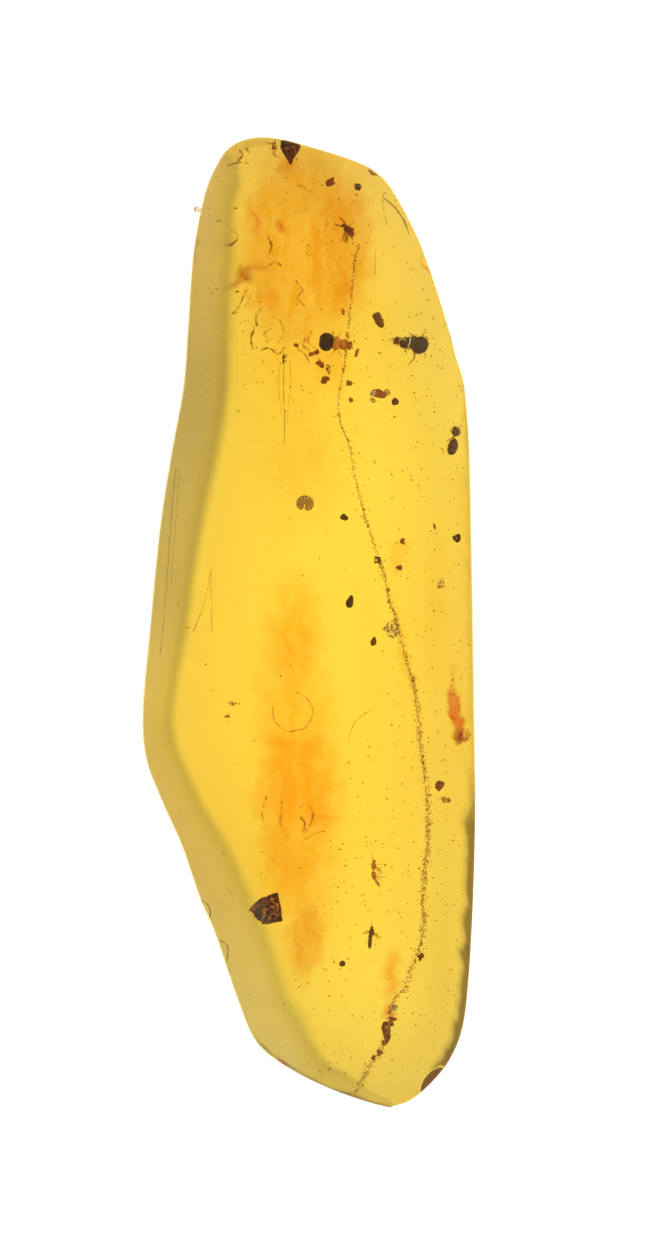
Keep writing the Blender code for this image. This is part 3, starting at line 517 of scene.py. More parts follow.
def clear_amber_material():
    """Clear yellow amber with orange stains, duller and darkened by painted shade on the bevel, with
    a hand-polished skin.
    """
    made, shader = new_material("clear amber")
    tree = made.node_tree
    shader.inputs["Transmission Weight"].default_value = 1.0
    shader.inputs["IOR"].default_value = AMBER_IOR
    shader.inputs["Specular Tint"].default_value = (0.4, 0.35, 0.2, 1.0)
    vector = wandering_place(tree, *STAIN_WANDERS)
    patch = soft_patch_group()
    colour = WHITE
    for (x, y), (wide, tall), turn, fade, tint in STAINS:
        mask = add_node(tree, "ShaderNodeGroup",
                        {"Vector": vector, "Place": (x * MM, y * MM, 0.0),
                         "Half Size": (wide * MM, tall * MM, 1.0),
                         "Turn": math.radians(-turn), "Fade": fade}, node_tree=patch)
        colour = tinted(tree, colour, mask.outputs["Mask"], [share ** 2 for share in tint])
    bevel, rim = mark_of(tree, "bevel"), mark_of(tree, "rim")
    # Painted shade: the bevel, its ridge, the rim and the chip are darkened in the colour; the chip
    # mark also gives the joined grain its own brown.
    colour = tinted(tree, colour, bevel, BEVEL_PAINTED_SHADE)
    colour = tinted(tree, colour, mark_of(tree, "ridge"), RIDGE_PAINTED_SHADE)
    colour = tinted(tree, colour, rim, RIM_PAINTED_SHADE)
    colour = tinted(tree, colour, mark_of(tree, "chip"), CHIP_SHADE_AND_GRAIN_BROWN)
    place = own_place(tree)
    split = add_node(tree, "ShaderNodeSeparateXYZ", {"Vector": place})
    front = add_node(tree, "ShaderNodeMapRange",
                     {"Value": split.outputs["Z"], "From Min": 1.0 * MM, "From Max": 2.0 * MM})
    only_front = add_node(tree, "ShaderNodeMix",
                          {"Factor": front.outputs["Result"], 6: WHITE, 7: colour},
                          data_type="RGBA")
    feed(tree, shader.inputs["Base Color"], only_front.outputs[2])
    haze = add_node(tree, "ShaderNodeTexNoise",
                    {"Vector": place, "Scale": 1 / (3.0 * MM), "Detail": 4.0})
    rough = add_node(tree, "ShaderNodeMapRange",
                     {"Value": haze.outputs["Fac"], "From Min": 0.3, "From Max": 0.8,
                      "To Min": 0.0, "To Max": 0.05})
    duller = number_math(tree, "MULTIPLY_ADD", bevel, BEVEL_DULLNESS, rough.outputs["Result"])
    feed(tree, shader.inputs["Roughness"],
         number_math(tree, "MULTIPLY_ADD", rim, RIM_DULLNESS, duller))
    depth = add_node(tree, "ShaderNodeVolumeAbsorption",
                     {"Color": (*AMBER_ABSORBS, 1.0), "Density": AMBER_DENSITY})
    feed(tree, tree.nodes["Material Output"].inputs["Volume"], depth.outputs["Volume"])
    return made


def smooth_side(points, count):
    """Return count + 1 places at even steps along a smooth curve through the points."""
    knots = [Vector((x * MM, y * MM)) for x, y in points]
    knots = [2 * knots[0] - knots[1]] + knots + [2 * knots[-1] - knots[-2]]
    dense = []
    for before, start, end, after in zip(knots, knots[1:], knots[2:], knots[3:]):
        for step in range(16):
            t = step / 16
            pull = (end - before) * t + (2 * before - 5 * start + 4 * end - after) * t * t
            pull += (3 * start - before - 3 * end + after) * t ** 3
            dense.append(start + pull / 2)
    dense.append(knots[-2])
    reach = [0.0]
    for a, b in zip(dense, dense[1:]):
        reach.append(reach[-1] + (b - a).length)
    places = []
    at = 0
    for index in range(count + 1):
        wanted = reach[-1] * index / count
        while at < len(reach) - 2 and reach[at + 1] < wanted:
            at += 1
        share = (wanted - reach[at]) / (reach[at + 1] - reach[at])
        places.append(dense[at].lerp(dense[at + 1], share))
    return places


def held(share):
    """Return the share kept between 0 and 1."""
    return min(max(share, 0.0), 1.0)


def eased(share):
    """Return the share with a soft start and end."""
    return share * share * (3 - 2 * share)


def value_at(table, y):
    """Return the value that the table gives at a place along the stone."""
    for (high, value), (low, next_value) in zip(table, table[1:]):
        if y >= low * MM:
            share = held((high * MM - y) / ((high - low) * MM))
            return value + (next_value - value) * eased(share)
    return table[-1][1]


def stone_columns():
    """Return (place on the outline, place on the spine, bevel width) once round the stone."""
    left = smooth_side(LEFT_SIDE, COLUMNS_A_SIDE)
    right = smooth_side(RIGHT_SIDE, COLUMNS_A_SIDE)
    middle = [(a + b) / 2 for a, b in zip(left, right)]
    spine = []
    for index in range(COLUMNS_A_SIDE + 1):
        along = COLUMNS_A_SIDE * SPINE_END + (1 - 2 * SPINE_END) * index
        low = min(int(along), COLUMNS_A_SIDE - 1)
        spine.append(middle[low].lerp(middle[low + 1], along - low))
    columns = [(rim, heart, value_at(BEVEL_WIDTHS, rim.y) * MM) for rim, heart in zip(left, spine)]
    columns += [(rim, heart, RIM_BEVEL) for rim, heart in zip(right[-2:0:-1], spine[-2:0:-1])]
    return [(rim + (heart - rim).normalized() * POLISH_ALLOWANCE, heart, bevel)
            for rim, heart, bevel in columns]


def soft_min(a, b):
    """Return the lower of two heights, with the edge where they meet rounded."""
    near = max(EDGE_SOFTNESS - abs(a - b), 0.0) / EDGE_SOFTNESS
    return min(a, b) - near * near * EDGE_SOFTNESS / 4


def front_height(place, inset, bevel):
    """Return the polished face's height at a place that far in from the outline."""
    across = place.x / HALF_WIDTH
    along = place.y / HALF_LENGTH
    height = THICKNESS - CROWN_ACROSS * across ** 2 - CROWN_ALONG * along ** 2
    edge = Vector(FACET_EDGE) * MM
    fallen = (place - edge.xy).dot(Vector(FACET_FALL).normalized())
    height = soft_min(height, edge.z - FACET_SLOPE * fallen)
    height = soft_min(height, THICKNESS - BEVEL_SLOPE * (bevel - inset))
    wave = noise.noise(Vector((place.x, place.y, 0.0)) / WAVE_LENGTH) - 1.0
    height += wave * WAVE_HEIGHT
    short = max(1 - inset / SIDE_ROUND, 0.0)
    return BELT_HIGH + (height - BELT_HIGH) * math.sqrt(1 - short ** 2)


def back_height(place, inset, bevel):
    """Return the back's height: it rounds over from the belt to the ground flat."""
    short = max(1 - inset / BACK_ROUND, 0.0)
    return BELT_LOW * (1 - math.sqrt(1 - short ** 2))


def rim_shade_strength(rim, far_in, height, on_left):
    """Return how strongly the rim's painted shade shows that far in from the outline."""
    edge = 1.3 + 0.6 * noise.noise(Vector((rim.x, rim.y, 0.0)) / (0.7 * MM))
    wide = value_at(LEFT_RIM_WIDTHS if on_left else RIGHT_RIM_WIDTHS, rim.y) * MM
    fade = held(1.6 * (edge - far_in / wide))
    low, high = RIM_SHADE_FADES
    if far_in < SIDE_ROUND:
        fade *= held((height - low) / (high - low))
    return value_at(LEFT_RIM if on_left else RIGHT_RIM, rim.y) * fade


def grow_face(bm, rim_edges, masks, columns, insets, shares, height_at):
    """Extrude the rim's edges inwards, ring by ring, and close them along the spine."""
    column, bevel_mask, ridge_mask, rim_mask = masks
    edges = rim_edges
    steps = [(inset * MM, 0.0) for inset in insets] + [(insets[-1] * MM, share) for share in shares]
    for inset, share in steps:
        grown = bmesh.ops.extrude_edge_only(bm, edges=edges)["geom"]
        edges = [item for item in grown if isinstance(item, bmesh.types.BMEdge)]
        verts = [item for item in grown if isinstance(item, bmesh.types.BMVert)]
        for vert in verts:
            rim, heart, bevel = columns[vert[column]]
            near = rim + (heart - rim).normalized() * inset
            place = near.lerp(heart, share)
            far_in = (place - rim).length
            vert.co = (place.x, place.y, height_at(place, far_in, bevel))
            vert[bevel_mask] = vert[ridge_mask] = vert[rim_mask] = 0.0
            if height_at is front_height:
                # The bevel mark darkens the colour as painted shade, more strongly at some places
                # along the stone; the ridge mark does so along the bevel's inner edge and the rim
                # mark along the rim.
                wide = held((bevel - RIM_BEVEL) / (1.0 * MM))
                edge = held((1.1 - far_in / bevel) / 0.3)
                shade = value_at(BEVEL_PAINTED_SHADE_STRENGTHS, place.y)
                vert[bevel_mask] = shade * wide * edge * edge * (3 - 2 * edge)
                vert[ridge_mask] = wide * math.exp(-((far_in / bevel - 0.86) / 0.2) ** 2)
                on_left = vert[column] <= COLUMNS_A_SIDE
                vert[rim_mask] = rim_shade_strength(rim, far_in, vert.co.z, on_left)
    bmesh.ops.remove_doubles(bm, verts=verts, dist=0.000001)


def shape_done(bm, name):
    """Return the finished shape as a mesh."""
    mesh = bpy.data.meshes.new(name)
    bm.to_mesh(mesh)
    bm.free()
    return mesh


def put_in(name, data):
    """Return a new object, put in the scene."""
    made = bpy.data.objects.new(name, data)
    bpy.context.scene.collection.objects.link(made)
    return made


def egg_matrix(place, radii, turn):
    """Return the matrix that makes an egg of a unit ball and turns it about Z."""
    matrix = Matrix.Translation(place) @ Matrix.Rotation(math.radians(turn), 4, "Z")
    return matrix @ Matrix.Diagonal((*radii, 1.0))


def piece_from(bm, name, material):
    """Return a new piece of the object that holds the shape, riding on the stone."""
    bmesh.ops.recalc_face_normals(bm, faces=bm.faces)
    mesh = shape_done(bm, name)
    mesh.shade_smooth()
    mesh.materials.append(material)
    made = put_in(name, mesh)
    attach(made, "root")
    return made


def clear_amber_stone():
    """Make the whole stone in one clear piece, in place of its two halves."""
    columns = stone_columns()
    bm = bmesh.new()
    column = bm.verts.layers.int.new("column")
    for name in ("bevel", "ridge", "rim"):
        bm.verts.layers.float.new(name)
    masks = (column, *bm.verts.layers.float.values())
    ring = bmesh.ops.create_circle(bm, segments=len(columns), radius=1.0)["verts"]
    for index, vert in enumerate(ring):
        vert[column] = index
        rim = columns[index][0]
        vert.co = (rim.x, rim.y, (BELT_LOW + BELT_HIGH) / 2)
    belt = bm.edges[:]
    grow_face(bm, belt, masks, columns, FRONT_INSETS, FRONT_SHARES, front_height)
    grow_face(bm, belt, masks, columns, BACK_INSETS, BACK_SHARES, back_height)
    stone = piece_from(bm, "clear_amber", clear_amber_material())
    # The chip's surface is darkened as painted shade; the grain's is given its own brown
    carve(stone, "DIFFERENCE", CHIP_AT, CHIP_RADII, CHIP_TURN, 1.0)
    carve(stone, "UNION", GRAIN_AT, [GRAIN_RADIUS] * 3, 0.0, 0.4)
    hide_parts("amber_front_half", "amber_back_half")
    return stone


def carve(stone, operation, place, radii, turn, shade_and_brown):
    """Take an egg shape out of the stone, or join one to it, with its surface darkened: painted
    shade in a chip, own brown on a grain.
    """
    bm = bmesh.new()
    matrix = egg_matrix(Vector(place) * MM, Vector(radii) * MM, turn)
    bmesh.ops.create_icosphere(bm, subdivisions=4, radius=1.0, matrix=matrix)
    mesh = shape_done(bm, "egg shape")
    mesh.shade_smooth()
    guide = put_in("egg shape", mesh)
    carving = stone.modifiers.new("carving", "BOOLEAN")
    carving.operation = operation
    carving.object = guide
    bpy.context.view_layer.update()
    shaped = stone.evaluated_get(bpy.context.evaluated_depsgraph_get())
    carved = bpy.data.meshes.new_from_object(shaped)
    stone.modifiers.remove(carving)
    stone.data = carved
    bpy.data.objects.remove(guide)
    marks = carved.attributes.get("chip") or carved.attributes.new("chip", "FLOAT", "FACE")
    inside_out = matrix.inverted()
    for face, mark in zip(carved.polygons, marks.data):
        corners = [inside_out @ carved.vertices[index].co for index in face.vertices]
        if all(abs(corner.length - 1.0) < 0.01 for corner in corners):
            mark.value = shade_and_brown


def shade_group():
    """Group: the colour of a shade, mottled by noise."""
    group, given, out = new_group(
        "shade colour",
        [("Shade", "Float"), ("Mottle", "Float"), ("Size", "Float")],
        [("Color", "Color"), ("Noise", "Float")])
    cloud = add_node(group, "ShaderNodeTexNoise",
                     {"Vector": own_place(group), "Scale": given["Size"], "Detail": 6.0,
                      "Roughness": 0.65})
    swing = number_math(group, "SUBTRACT", cloud.outputs["Fac"], 0.5)
    mottled = number_math(group, "MULTIPLY_ADD", swing, given["Mottle"], given["Shade"])
    feed(group, out["Color"], ramp_of(group, mottled, SHADES))
    feed(group, out["Noise"], cloud.outputs["Fac"])
    return group


def shaded_material(name, group, mottle, size, roughness, relief):
    """Return a material that is coloured by each piece's shade and pitted by noise."""
    made, shader = new_material(name)
    tree = made.node_tree
    colour = add_node(tree, "ShaderNodeGroup",
                      {"Shade": mark_of(tree, "shade"), "Mottle": mottle, "Size": 1 / size},
                      node_tree=group).outputs
    feed(tree, shader.inputs["Base Color"], colour["Color"])
    bump = add_node(tree, "ShaderNodeBump",
                    {"Height": colour["Noise"], "Strength": 0.6, "Distance": relief})
    feed(tree, shader.inputs["Normal"], bump.outputs["Normal"])
    rough = add_node(tree, "ShaderNodeMapRange",
                     {"Value": colour["Noise"], "To Min": roughness, "To Max": roughness + 0.2})
    feed(tree, shader.inputs["Roughness"], rough.outputs["Result"])
    shader.inputs["Specular IOR Level"].default_value = 0.12
    return made


def film_material():
    """Return the material of thin wings: a brown film that light passes straight through."""
    made, shader = new_material("wing film")
    tree = made.node_tree
    shader.inputs["Transmission Weight"].default_value = 1.0
    shader.inputs["IOR"].default_value = 1.02
    veins = add_node(tree, "ShaderNodeTexVoronoi",
                     {"Vector": own_place(tree), "Scale": 1 / (0.12 * MM)},
                     feature="DISTANCE_TO_EDGE")
    feed(tree, shader.inputs["Base Color"],
         ramp_of(tree, veins.outputs["Distance"],
                 [(0.0, (0.25, 0.15, 0.05)), (0.08, (0.8, 0.66, 0.4))]))
    shader.inputs["Roughness"].default_value = 0.2
    return made


def new_shape():
    """Return an empty shape whose points can be given a shade."""
    bm = bmesh.new()
    bm.verts.layers.float.new("shade")
    return bm


def give_shade(bm, verts, shade):
    """Give the points their shade."""
    layer = bm.verts.layers.float["shade"]
    for vert in verts:
        vert[layer] = shade


def tube(bm, places, radii, sides, shade):
    """Add a closed tube along the places, as thick at each as its radius."""
    ways = [(b - a).normalized() for a, b in zip(places, places[1:])]
    ways = [ways[0]] + [(a + b).normalized() for a, b in zip(ways, ways[1:])] + [ways[-1]]
    turns = [way.to_track_quat("Z", "Y").to_matrix() for way in ways]
    start = Matrix.Translation(places[0]) @ turns[0].to_4x4()
    ring = bmesh.ops.create_circle(bm, cap_ends=True, segments=sides, radius=radii[0],
                                   matrix=start)
    cap = ring["verts"][0].link_faces[0]
    give_shade(bm, cap.verts, shade)
    for index in range(1, len(places)):
        grown = bmesh.ops.extrude_face_region(bm, geom=[cap])["geom"]
        if index > 1:
            bmesh.ops.delete(bm, geom=[cap], context="FACES_ONLY")
        cap = next(item for item in grown if isinstance(item, bmesh.types.BMFace))
        for vert in cap.verts:
            offset = turns[index - 1].transposed() @ (vert.co - places[index - 1])
            swell = radii[index] / radii[index - 1]
            vert.co = places[index] + turns[index] @ offset * swell
        give_shade(bm, cap.verts, shade)


def ball(bm, place, radii, turn, shade):
    """Add an egg-shaped body, turned about Z."""
    matrix = egg_matrix(Vector(place) * MM, Vector(radii) * MM, turn)
    made = bmesh.ops.create_uvsphere(bm, u_segments=24, v_segments=16, radius=1.0, matrix=matrix)
    give_shade(bm, made["verts"], shade)


def lobe(bm, start, end, width, rings, shade):
    """Add a body part that is ringed by grooves and rounded at both ends."""
    steps = rings * 6
    shares = [0.5 - 0.5 * math.cos(math.pi * step / steps) for step in range(steps + 1)]
    places = [(Vector(start) * MM).lerp(Vector(end) * MM, share) for share in shares]
    radii = []
    for share in shares:
        swell = max(1 - abs(2 * share - 1) ** 2.6, 0.02) ** 0.5
        groove = 0.82 + 0.18 * abs(math.sin(math.pi * rings * share)) ** 0.4
        radii.append(width * MM * swell * groove)
    tube(bm, places, radii, 20, shade)


def limb(bm, points, thickness, shade):
    """Add a jointed limb: each joint a little swollen, and the whole thinner to its end."""
    places = []
    radii = []
    count = len(points) - 1
    for index, (near, far) in enumerate(zip(points, points[1:])):
        for share in (0.0, 0.12, 0.5, 0.85):
            thin = 1 - 0.5 * (index + share) / count
            places.append((Vector(near) * MM).lerp(Vector(far) * MM, share))
            radii.append(thickness * MM * thin * (1.15 if share == 0.0 else 0.85))
    places.append(Vector(points[-1]) * MM)
    radii.append(thickness * MM * 0.4)
    tube(bm, places, radii, 8, shade)


def hairs(bm, count, length, chance):
    """Add short stiff hairs that stand on the body."""
    roots = [face for face in bm.faces if face.calc_area() > (0.02 * MM) ** 2]
    chosen = [chance.choice(roots) for _ in range(count)]
    starts = [(face.calc_center_median(), face.normal.copy()) for face in chosen]
    for place, normal in starts:
        lean = Vector([chance.uniform(-0.6, 0.6) for _ in range(3)])
        tip = place + (normal + lean).normalized() * length * MM * chance.uniform(0.6, 1.3)
        tube(bm, [place, place.lerp(tip, 0.6), tip], [0.006 * MM, 0.005 * MM, 0.002 * MM], 4, 0.3)


def insect(name, skin, film, chance):
    """Make one insect and its wings, in place of the plain one."""
    shape = INSECTS[name]
    bm = new_shape()
    for place, radii, turn, shade in shape["balls"]:
        ball(bm, place, radii, turn, shade)
    for part in shape["lobes"]:
        lobe(bm, *part)
    bmesh.ops.recalc_face_normals(bm, faces=bm.faces)
    hairs(bm, *shape["hairs"], chance)
    for points, thickness, shade in shape["limbs"]:
        limb(bm, points, thickness, shade)
    made = piece_from(bm, "fine_" + name, skin)
    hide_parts(name)
    if shape["wings"]:
        bm = new_shape()
        for root, tip, width in shape["wings"]:
            root, tip = Vector(root), Vector(tip)
            way = tip - root
            ball(bm, (root + tip) / 2, (way.length / 2, width, 0.006),
                 math.degrees(math.atan2(way.y, way.x)), 0.7)
        piece_from(bm, name + "_wings", film)


def larva(skin):
    """Make the curled larva, ringed by its segments."""
    bm = new_shape()
    places = []
    radii = []
    for step in range(LARVA_STEPS + 1):
        share = step / LARVA_STEPS
        angle = math.radians(LARVA_GAP / 2 + (360 - LARVA_GAP) * share - 100)
        places.append((Vector(LARVA_AT) + LARVA_RING * Vector((math.cos(angle), math.sin(angle), 0)))
                      * MM)
        swell = max(math.sqrt(1 - min(abs(2 * share - 1), 1.0) ** 5), 0.25)
        fold = 0.86 + 0.14 * abs(math.sin(math.pi * LARVA_SEGMENTS * share)) ** 0.5
        radii.append(LARVA_THICKNESS * MM * swell * fold)
    tube(bm, places, radii, 24, 0.4)
    layer = bm.verts.layers.float["shade"]
    for vert in bm.verts:
        step = vert.index // 24
        fold = abs(math.sin(math.pi * LARVA_SEGMENTS * step / LARVA_STEPS))
        vert[layer] = 0.25 + 0.64 * min(1.4 * fold, 1.0)
    made = piece_from(bm, "fine_larva", skin)
    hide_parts("curled_larva")


def bark(name, surface):
    """Make a bit of bark: its outline drawn up to its thickness, then broken up by ridges."""
    outline, underside, thickness = BARK_OUTLINES[name]
    bm = new_shape()
    corners = [bm.verts.new(Vector((x, y, underside)) * MM) for x, y in outline]
    face = bmesh.ops.contextual_create(bm, geom=corners)["faces"][0]
    grown = bmesh.ops.extrude_face_region(bm, geom=[face])["geom"]
    top = [item for item in grown if isinstance(item, bmesh.types.BMVert)]
    bmesh.ops.translate(bm, verts=top, vec=(0.0, 0.0, thickness * MM))
    bmesh.ops.bevel(bm, geom=bm.edges[:], offset=0.06 * MM, affect="EDGES", segments=2,
                    profile=0.5, material=-1)
    bmesh.ops.triangulate(bm, faces=bm.faces[:])
    for _ in range(4):
        long = [edge for edge in bm.edges if edge.calc_length() > 0.05 * MM]
        bmesh.ops.subdivide_edges(bm, edges=long, cuts=1, use_grid_fill=True)
        bmesh.ops.triangulate(bm, faces=bm.faces[:])
    bm.normal_update()
    layer = bm.verts.layers.float["shade"]
    for vert in bm.verts:
        ridge = 1 - abs(noise.noise(vert.co / (0.3 * MM)))
        grit = noise.noise(vert.co / (0.08 * MM))
        vert.co += vert.normal * (0.14 * (ridge - 0.9) + 0.03 * grit) * MM
        vert[layer] = 0.14 + 3.6 * max(ridge - 0.87, 0.0) + 0.5 * grit
    made = piece_from(bm, "fine_" + name, surface)
    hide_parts(name)


def resin_drop(name, surface):
    """Make a drop of dark resin: thin at its upper end and full at its lower one."""
    upper, lower, thickness = RESIN_DROPS[name]
    bm = new_shape()
    shares = [0.5 - 0.5 * math.cos(math.pi * step / 24) for step in range(25)]
    places = [(Vector(upper) * MM).lerp(Vector(lower) * MM, share) for share in shares]
    radii = []
    for share, place in zip(shares, places):
        swell = max(1 - abs(2 * share ** 0.7 - 1) ** 2.2, 0.03) ** 0.6
        radii.append(thickness * MM * swell * (1 + 0.4 * noise.noise(place / (0.12 * MM))))
    tube(bm, places, radii, 20, 0.3)
    made = piece_from(bm, "fine_" + name, surface)
    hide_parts(name)


def lump(bm, place, radii, turn, shade, detail, rough):
    """Add a small uneven lump."""
    made = bmesh.ops.create_icosphere(bm, subdivisions=detail, radius=1.0,
                                      matrix=egg_matrix(place, radii, turn))
    for vert in made["verts"]:
        out = vert.co - place
        vert.co = place + out * (1 + rough * noise.noise(vert.co / max(radii)))
    give_shade(bm, made["verts"], shade)


def pellet(number, place, half_length, half_width, turn, shade, surface):
    """Make one dark pellet."""
    bm = new_shape()
    radii = Vector((half_length, half_width, half_width)) * MM
    lump(bm, Vector(place) * MM, radii, turn, shade, 4, 0.5)
    made = piece_from(bm, f"fine_pellet_{number}", surface)
    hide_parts(f"dark_pellet_{number}")


def top_of(stone):
    """Return a way to ask how high the stone's polished face is at a place."""
    bm = bmesh.new()
    bm.from_mesh(stone.data)
    tree = BVHTree.FromBMesh(bm)
    bm.free()

    def height(x, y):
        hit = tree.ray_cast(Vector((x, y, 1.0)), Vector((0.0, 0.0, -1.0)))[0]
        return hit.z if hit else 0.0
    return height


def pour(bm, grains):
    """Add the grains a handful at a time, each handful shaped on its own."""
    for start in range(0, len(grains), HANDFUL):
        handful = new_shape()
        for grain in grains[start:start + HANDFUL]:
            lump(handful, *grain)
        mesh = shape_done(handful, "handful")
        bm.from_mesh(mesh)
        bpy.data.meshes.remove(mesh)


def dust(place, size, shade, chance):
    """Return one grain of dust."""
    stretch = chance.uniform(1.0, 1.8)
    return place, (size, size * stretch, size), chance.uniform(0, 180), shade, 1, 0.6


def specks(surface, height, chance):
    """Scatter the specks and dust: the larger ones in their places, the rest by chance."""
    grains = []
    for x, y, wide, tall, turn, shade in SPECKS:
        top = height(x * MM, y * MM) / MM
        deep = Vector((x, y, chance.uniform(2.5, max(top - 0.7, 2.6)))) * MM
        if max(wide, tall) < 0.2:
            radii = Vector((wide, tall, (wide + tall) / 2)) * MM
            grains.append((deep, radii, turn, shade, 3, 0.9))
            continue
        for _ in range(int(700 * wide * tall)):
            angle = chance.uniform(0, 2 * math.pi)
            away = math.sqrt(chance.random())
            off = Vector((wide * away * math.cos(angle), tall * away * math.sin(angle),
                          chance.uniform(-0.1, 0.1))) * MM
            grains.append(dust(deep + off, chance.uniform(0.02, 0.05) * MM,
                               shade + chance.uniform(-0.2, 0.05), chance))
    line = smooth_side(FISSURE, 400)
    for _ in range(FISSURE_GRAINS):
        share = chance.random()
        if share < 0.36 and chance.random() < 0.6:
            continue
        near = line[int(share * 400)]
        spread = 0.035 + 0.05 * share
        x = near.x + chance.gauss(0.0, spread) * MM
        y = near.y + chance.gauss(0.0, 0.05) * MM
        size = chance.uniform(0.008, 0.026) * MM * (2.2 if chance.random() < 0.05 else 1.0)
        if height(x, y) > 3.5 * MM:
            grains.append(dust(Vector((x, y, chance.uniform(2.8, 5.6) * MM)), size,
                               chance.uniform(0.5, 0.86), chance))
    for _ in range(STRAY_GRAINS):
        x, y = chance.uniform(-7, 7), chance.uniform(-20, 20)
        thick = 0.9 if y > 9 else 0.8 if x > 2.4 + 0.25 * (3 - abs(y)) else 0.12
        top = height(x * MM, y * MM) / MM
        if top < 5.0 or chance.random() > thick:
            continue
        grains.append(dust(Vector((x, y, chance.uniform(1.5, top - 0.5))) * MM,
                           chance.uniform(0.01, 0.034) * MM, chance.uniform(0.4, 0.72), chance))
    bm = new_shape()
    pour(bm, grains)
    piece_from(bm, "specks", surface)


def wavy_tube(bm, places, thickness, shade):
    """Add a thread of uneven thickness."""
    radii = [thickness * MM * (0.8 + 0.7 * noise.noise(place / (0.25 * MM))) for place in places]
    tube(bm, places, radii, 6, shade)


def threads(surface, height):
    """Lay the fine cracks and threads; those with no height lie just under the surface."""
    bm = new_shape()
    for points, high, thickness, shade in THREADS:
        line = smooth_side(points, 40)
        places = [Vector((*place, high * MM or height(*place) - 0.04 * MM)) for place in line]
        wavy_tube(bm, places, thickness, shade)
    (x, y), reach, high, thickness, shade = RING_CRACK
    start_angle, sweep = RING_CRACK_TURN
    places = []
    for step in range(65):
        angle = math.radians(start_angle + sweep * step / 64)
        away = reach * (1 + 0.05 * noise.noise(Vector((math.cos(angle), math.sin(angle), 0.0)) * 2))
        places.append(Vector((x + away * math.cos(angle), y + away * math.sin(angle), high)) * MM)
    wavy_tube(bm, places, thickness, shade)
    line = smooth_side(FISSURE, 900)
    for start in range(0, 900, 30):
        thickness = 0.012 + 0.012 * (start % 90 == 0)
        places = [Vector((*place, (4.9 + 0.3 * math.sin(start)) * MM))
                  + Vector((noise.noise(Vector((*place, 0.0)) / (0.3 * MM)), 0.0, 0.0)) * 0.07 * MM
                  for place in line[start:start + 27]]
        wavy_tube(bm, places, thickness, 0.55)
    piece_from(bm, "threads", surface)


def fold_material():
    """Return the material of folds in the flow films: a brown glassy edge."""
    made, shader = new_material("flow fold")
    tree = made.node_tree
    shader.inputs["Transmission Weight"].default_value = 1.0
    shader.inputs["IOR"].default_value = 1.12
    cloud = add_node(tree, "ShaderNodeTexNoise",
                     {"Vector": own_place(tree), "Scale": 1 / (0.3 * MM), "Detail": 3.0})
    feed(tree, shader.inputs["Base Color"],
         ramp_of(tree, cloud.outputs["Fac"],
                 [(0.35, (0.35, 0.16, 0.04)), (0.6, (0.98, 0.9, 0.7))]))
    shader.inputs["Roughness"].default_value = 0.05
    return made


def folds(height):
    """Lay the folds of the old flow films, as thin glassy ridges; 0 is just under the surface."""
    bm = new_shape()
    for points, high in FOLDS:
        places = [Vector((*place, high * MM or height(*place) - 0.1 * MM))
                  for place in smooth_side(points, 24)]
        wavy_tube(bm, places, 0.06, 0.7)
    piece_from(bm, "flow_folds", fold_material())


def floor_material():
    """A plain pale floor."""
    made, shader = new_material("pale floor")
    shader.inputs["Base Color"].default_value = (0.9, 0.9, 0.9, 1.0)
    shader.inputs["Roughness"].default_value = 0.9
    shader.inputs["Specular IOR Level"].default_value = 0.1
    return made


def floor():
    """Lay the floor a hair below the stone, so that its clear back doesn't meet it."""
    bm = bmesh.new()
    bmesh.ops.create_grid(bm, x_segments=1, y_segments=1, size=FLOOR_SIZE / 2,
                          matrix=Matrix.Translation((0.0, 0.0, -FLOOR_DROP)))
    mesh = shape_done(bm, "floor")
    mesh.materials.append(floor_material())
    put_in("floor", mesh)


def soft_light(name, place, size, power):
    """Hang one large soft light that faces the stone."""
    lamp = bpy.data.lights.new(name, "AREA")
    lamp.shape = "RECTANGLE"
    lamp.size, lamp.size_y = size
    lamp.energy = power
    made = put_in(name, lamp)
    made.location = place
    made.rotation_euler = (-Vector(place)).to_track_quat("-Z", "Y").to_euler()


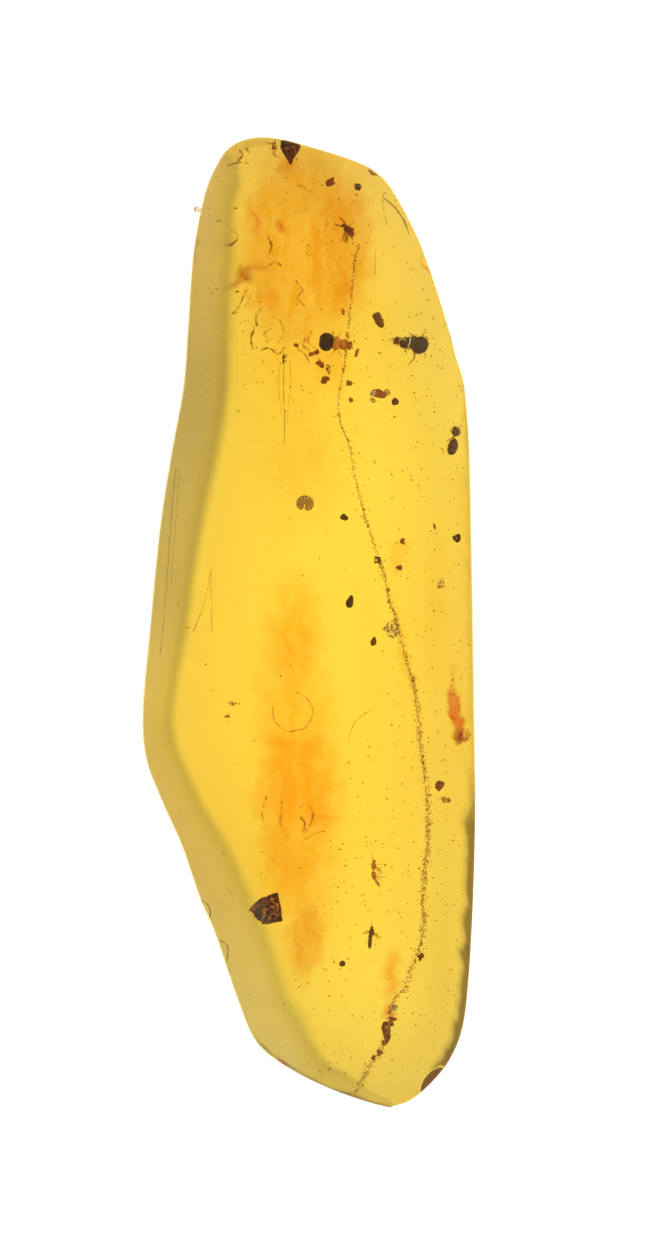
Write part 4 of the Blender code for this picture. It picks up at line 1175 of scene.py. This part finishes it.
def studio_world():
    """Light from all round: white walls, darker straight overhead."""
    world = bpy.data.worlds.new("studio")
    world.use_nodes = True
    tree = world.node_tree
    way = add_node(tree, "ShaderNodeTexCoord").outputs["Generated"]
    split = add_node(tree, "ShaderNodeSeparateXYZ", {"Vector": way})
    strength = add_node(tree, "ShaderNodeMapRange",
                        {"Value": split.outputs["Z"], "From Min": 0.82, "From Max": 0.97,
                         "To Min": WALL_LIGHT, "To Max": OVERHEAD_LIGHT},
                        interpolation_type="SMOOTHSTEP")
    background = tree.nodes["Background"]
    feed(tree, background.inputs["Color"], WHITE)
    feed(tree, background.inputs["Strength"], strength.outputs["Result"])
    bpy.context.scene.world = world


def camera():
    """Hang the camera straight over the stone, with its blunt end at the top of the picture."""
    lens = bpy.data.cameras.new("camera")
    lens.sensor_width = 36.0
    lens.lens = 18.0 * CAMERA_HEIGHT / (FRAME_HEIGHT / 2)
    lens.clip_start = 0.01
    made = put_in("camera", lens)
    made.location = (CAMERA_AIM[0] * MM, CAMERA_AIM[1] * MM, CAMERA_HEIGHT + BELT_HIGH)
    bpy.context.scene.camera = made


def picture_settings():
    """Set how light is followed through the clear stone, and plain colours."""
    scene = bpy.context.scene
    scene.view_settings.view_transform = "Standard"
    scene.cycles.max_bounces = 16
    scene.cycles.transmission_bounces = 14
    scene.cycles.glossy_bounces = 8
    scene.cycles.diffuse_bounces = 5
    scene.cycles.use_denoising = True


def main():
    """Build the stage, the stone and what is sealed in it."""
    camera()
    floor()
    studio_world()
    soft_light("window", WINDOW_AT, WINDOW_SIZE, WINDOW_POWER)
    picture_settings()
    stone = clear_amber_stone()
    chance = random.Random(11)
    colours = shade_group()
    chitin = shaded_material("chitin", colours, 0.9, 0.09 * MM, 0.25, 0.01 * MM)
    for name in INSECTS:
        insect(name, chitin, film_material(), chance)
    larva(shaded_material("larva skin", colours, 0.35, 0.08 * MM, 0.4, 0.01 * MM))
    woody = shaded_material("bark", colours, 0.9, 0.1 * MM, 0.6, 0.02 * MM)
    for name in BARK_OUTLINES:
        bark(name, woody)
    resin = shaded_material("dark resin", colours, 0.5, 0.12 * MM, 0.1, 0.005 * MM)
    for name in RESIN_DROPS:
        resin_drop(name, resin)
    grimy = shaded_material("pellet", colours, 0.9, 0.08 * MM, 0.6, 0.01 * MM)
    for number, shape in enumerate(PELLETS, 1):
        pellet(number, *shape, grimy)
    height = top_of(stone)
    specks(grimy, height, chance)
    threads(grimy, height)
    folds(height)


main()
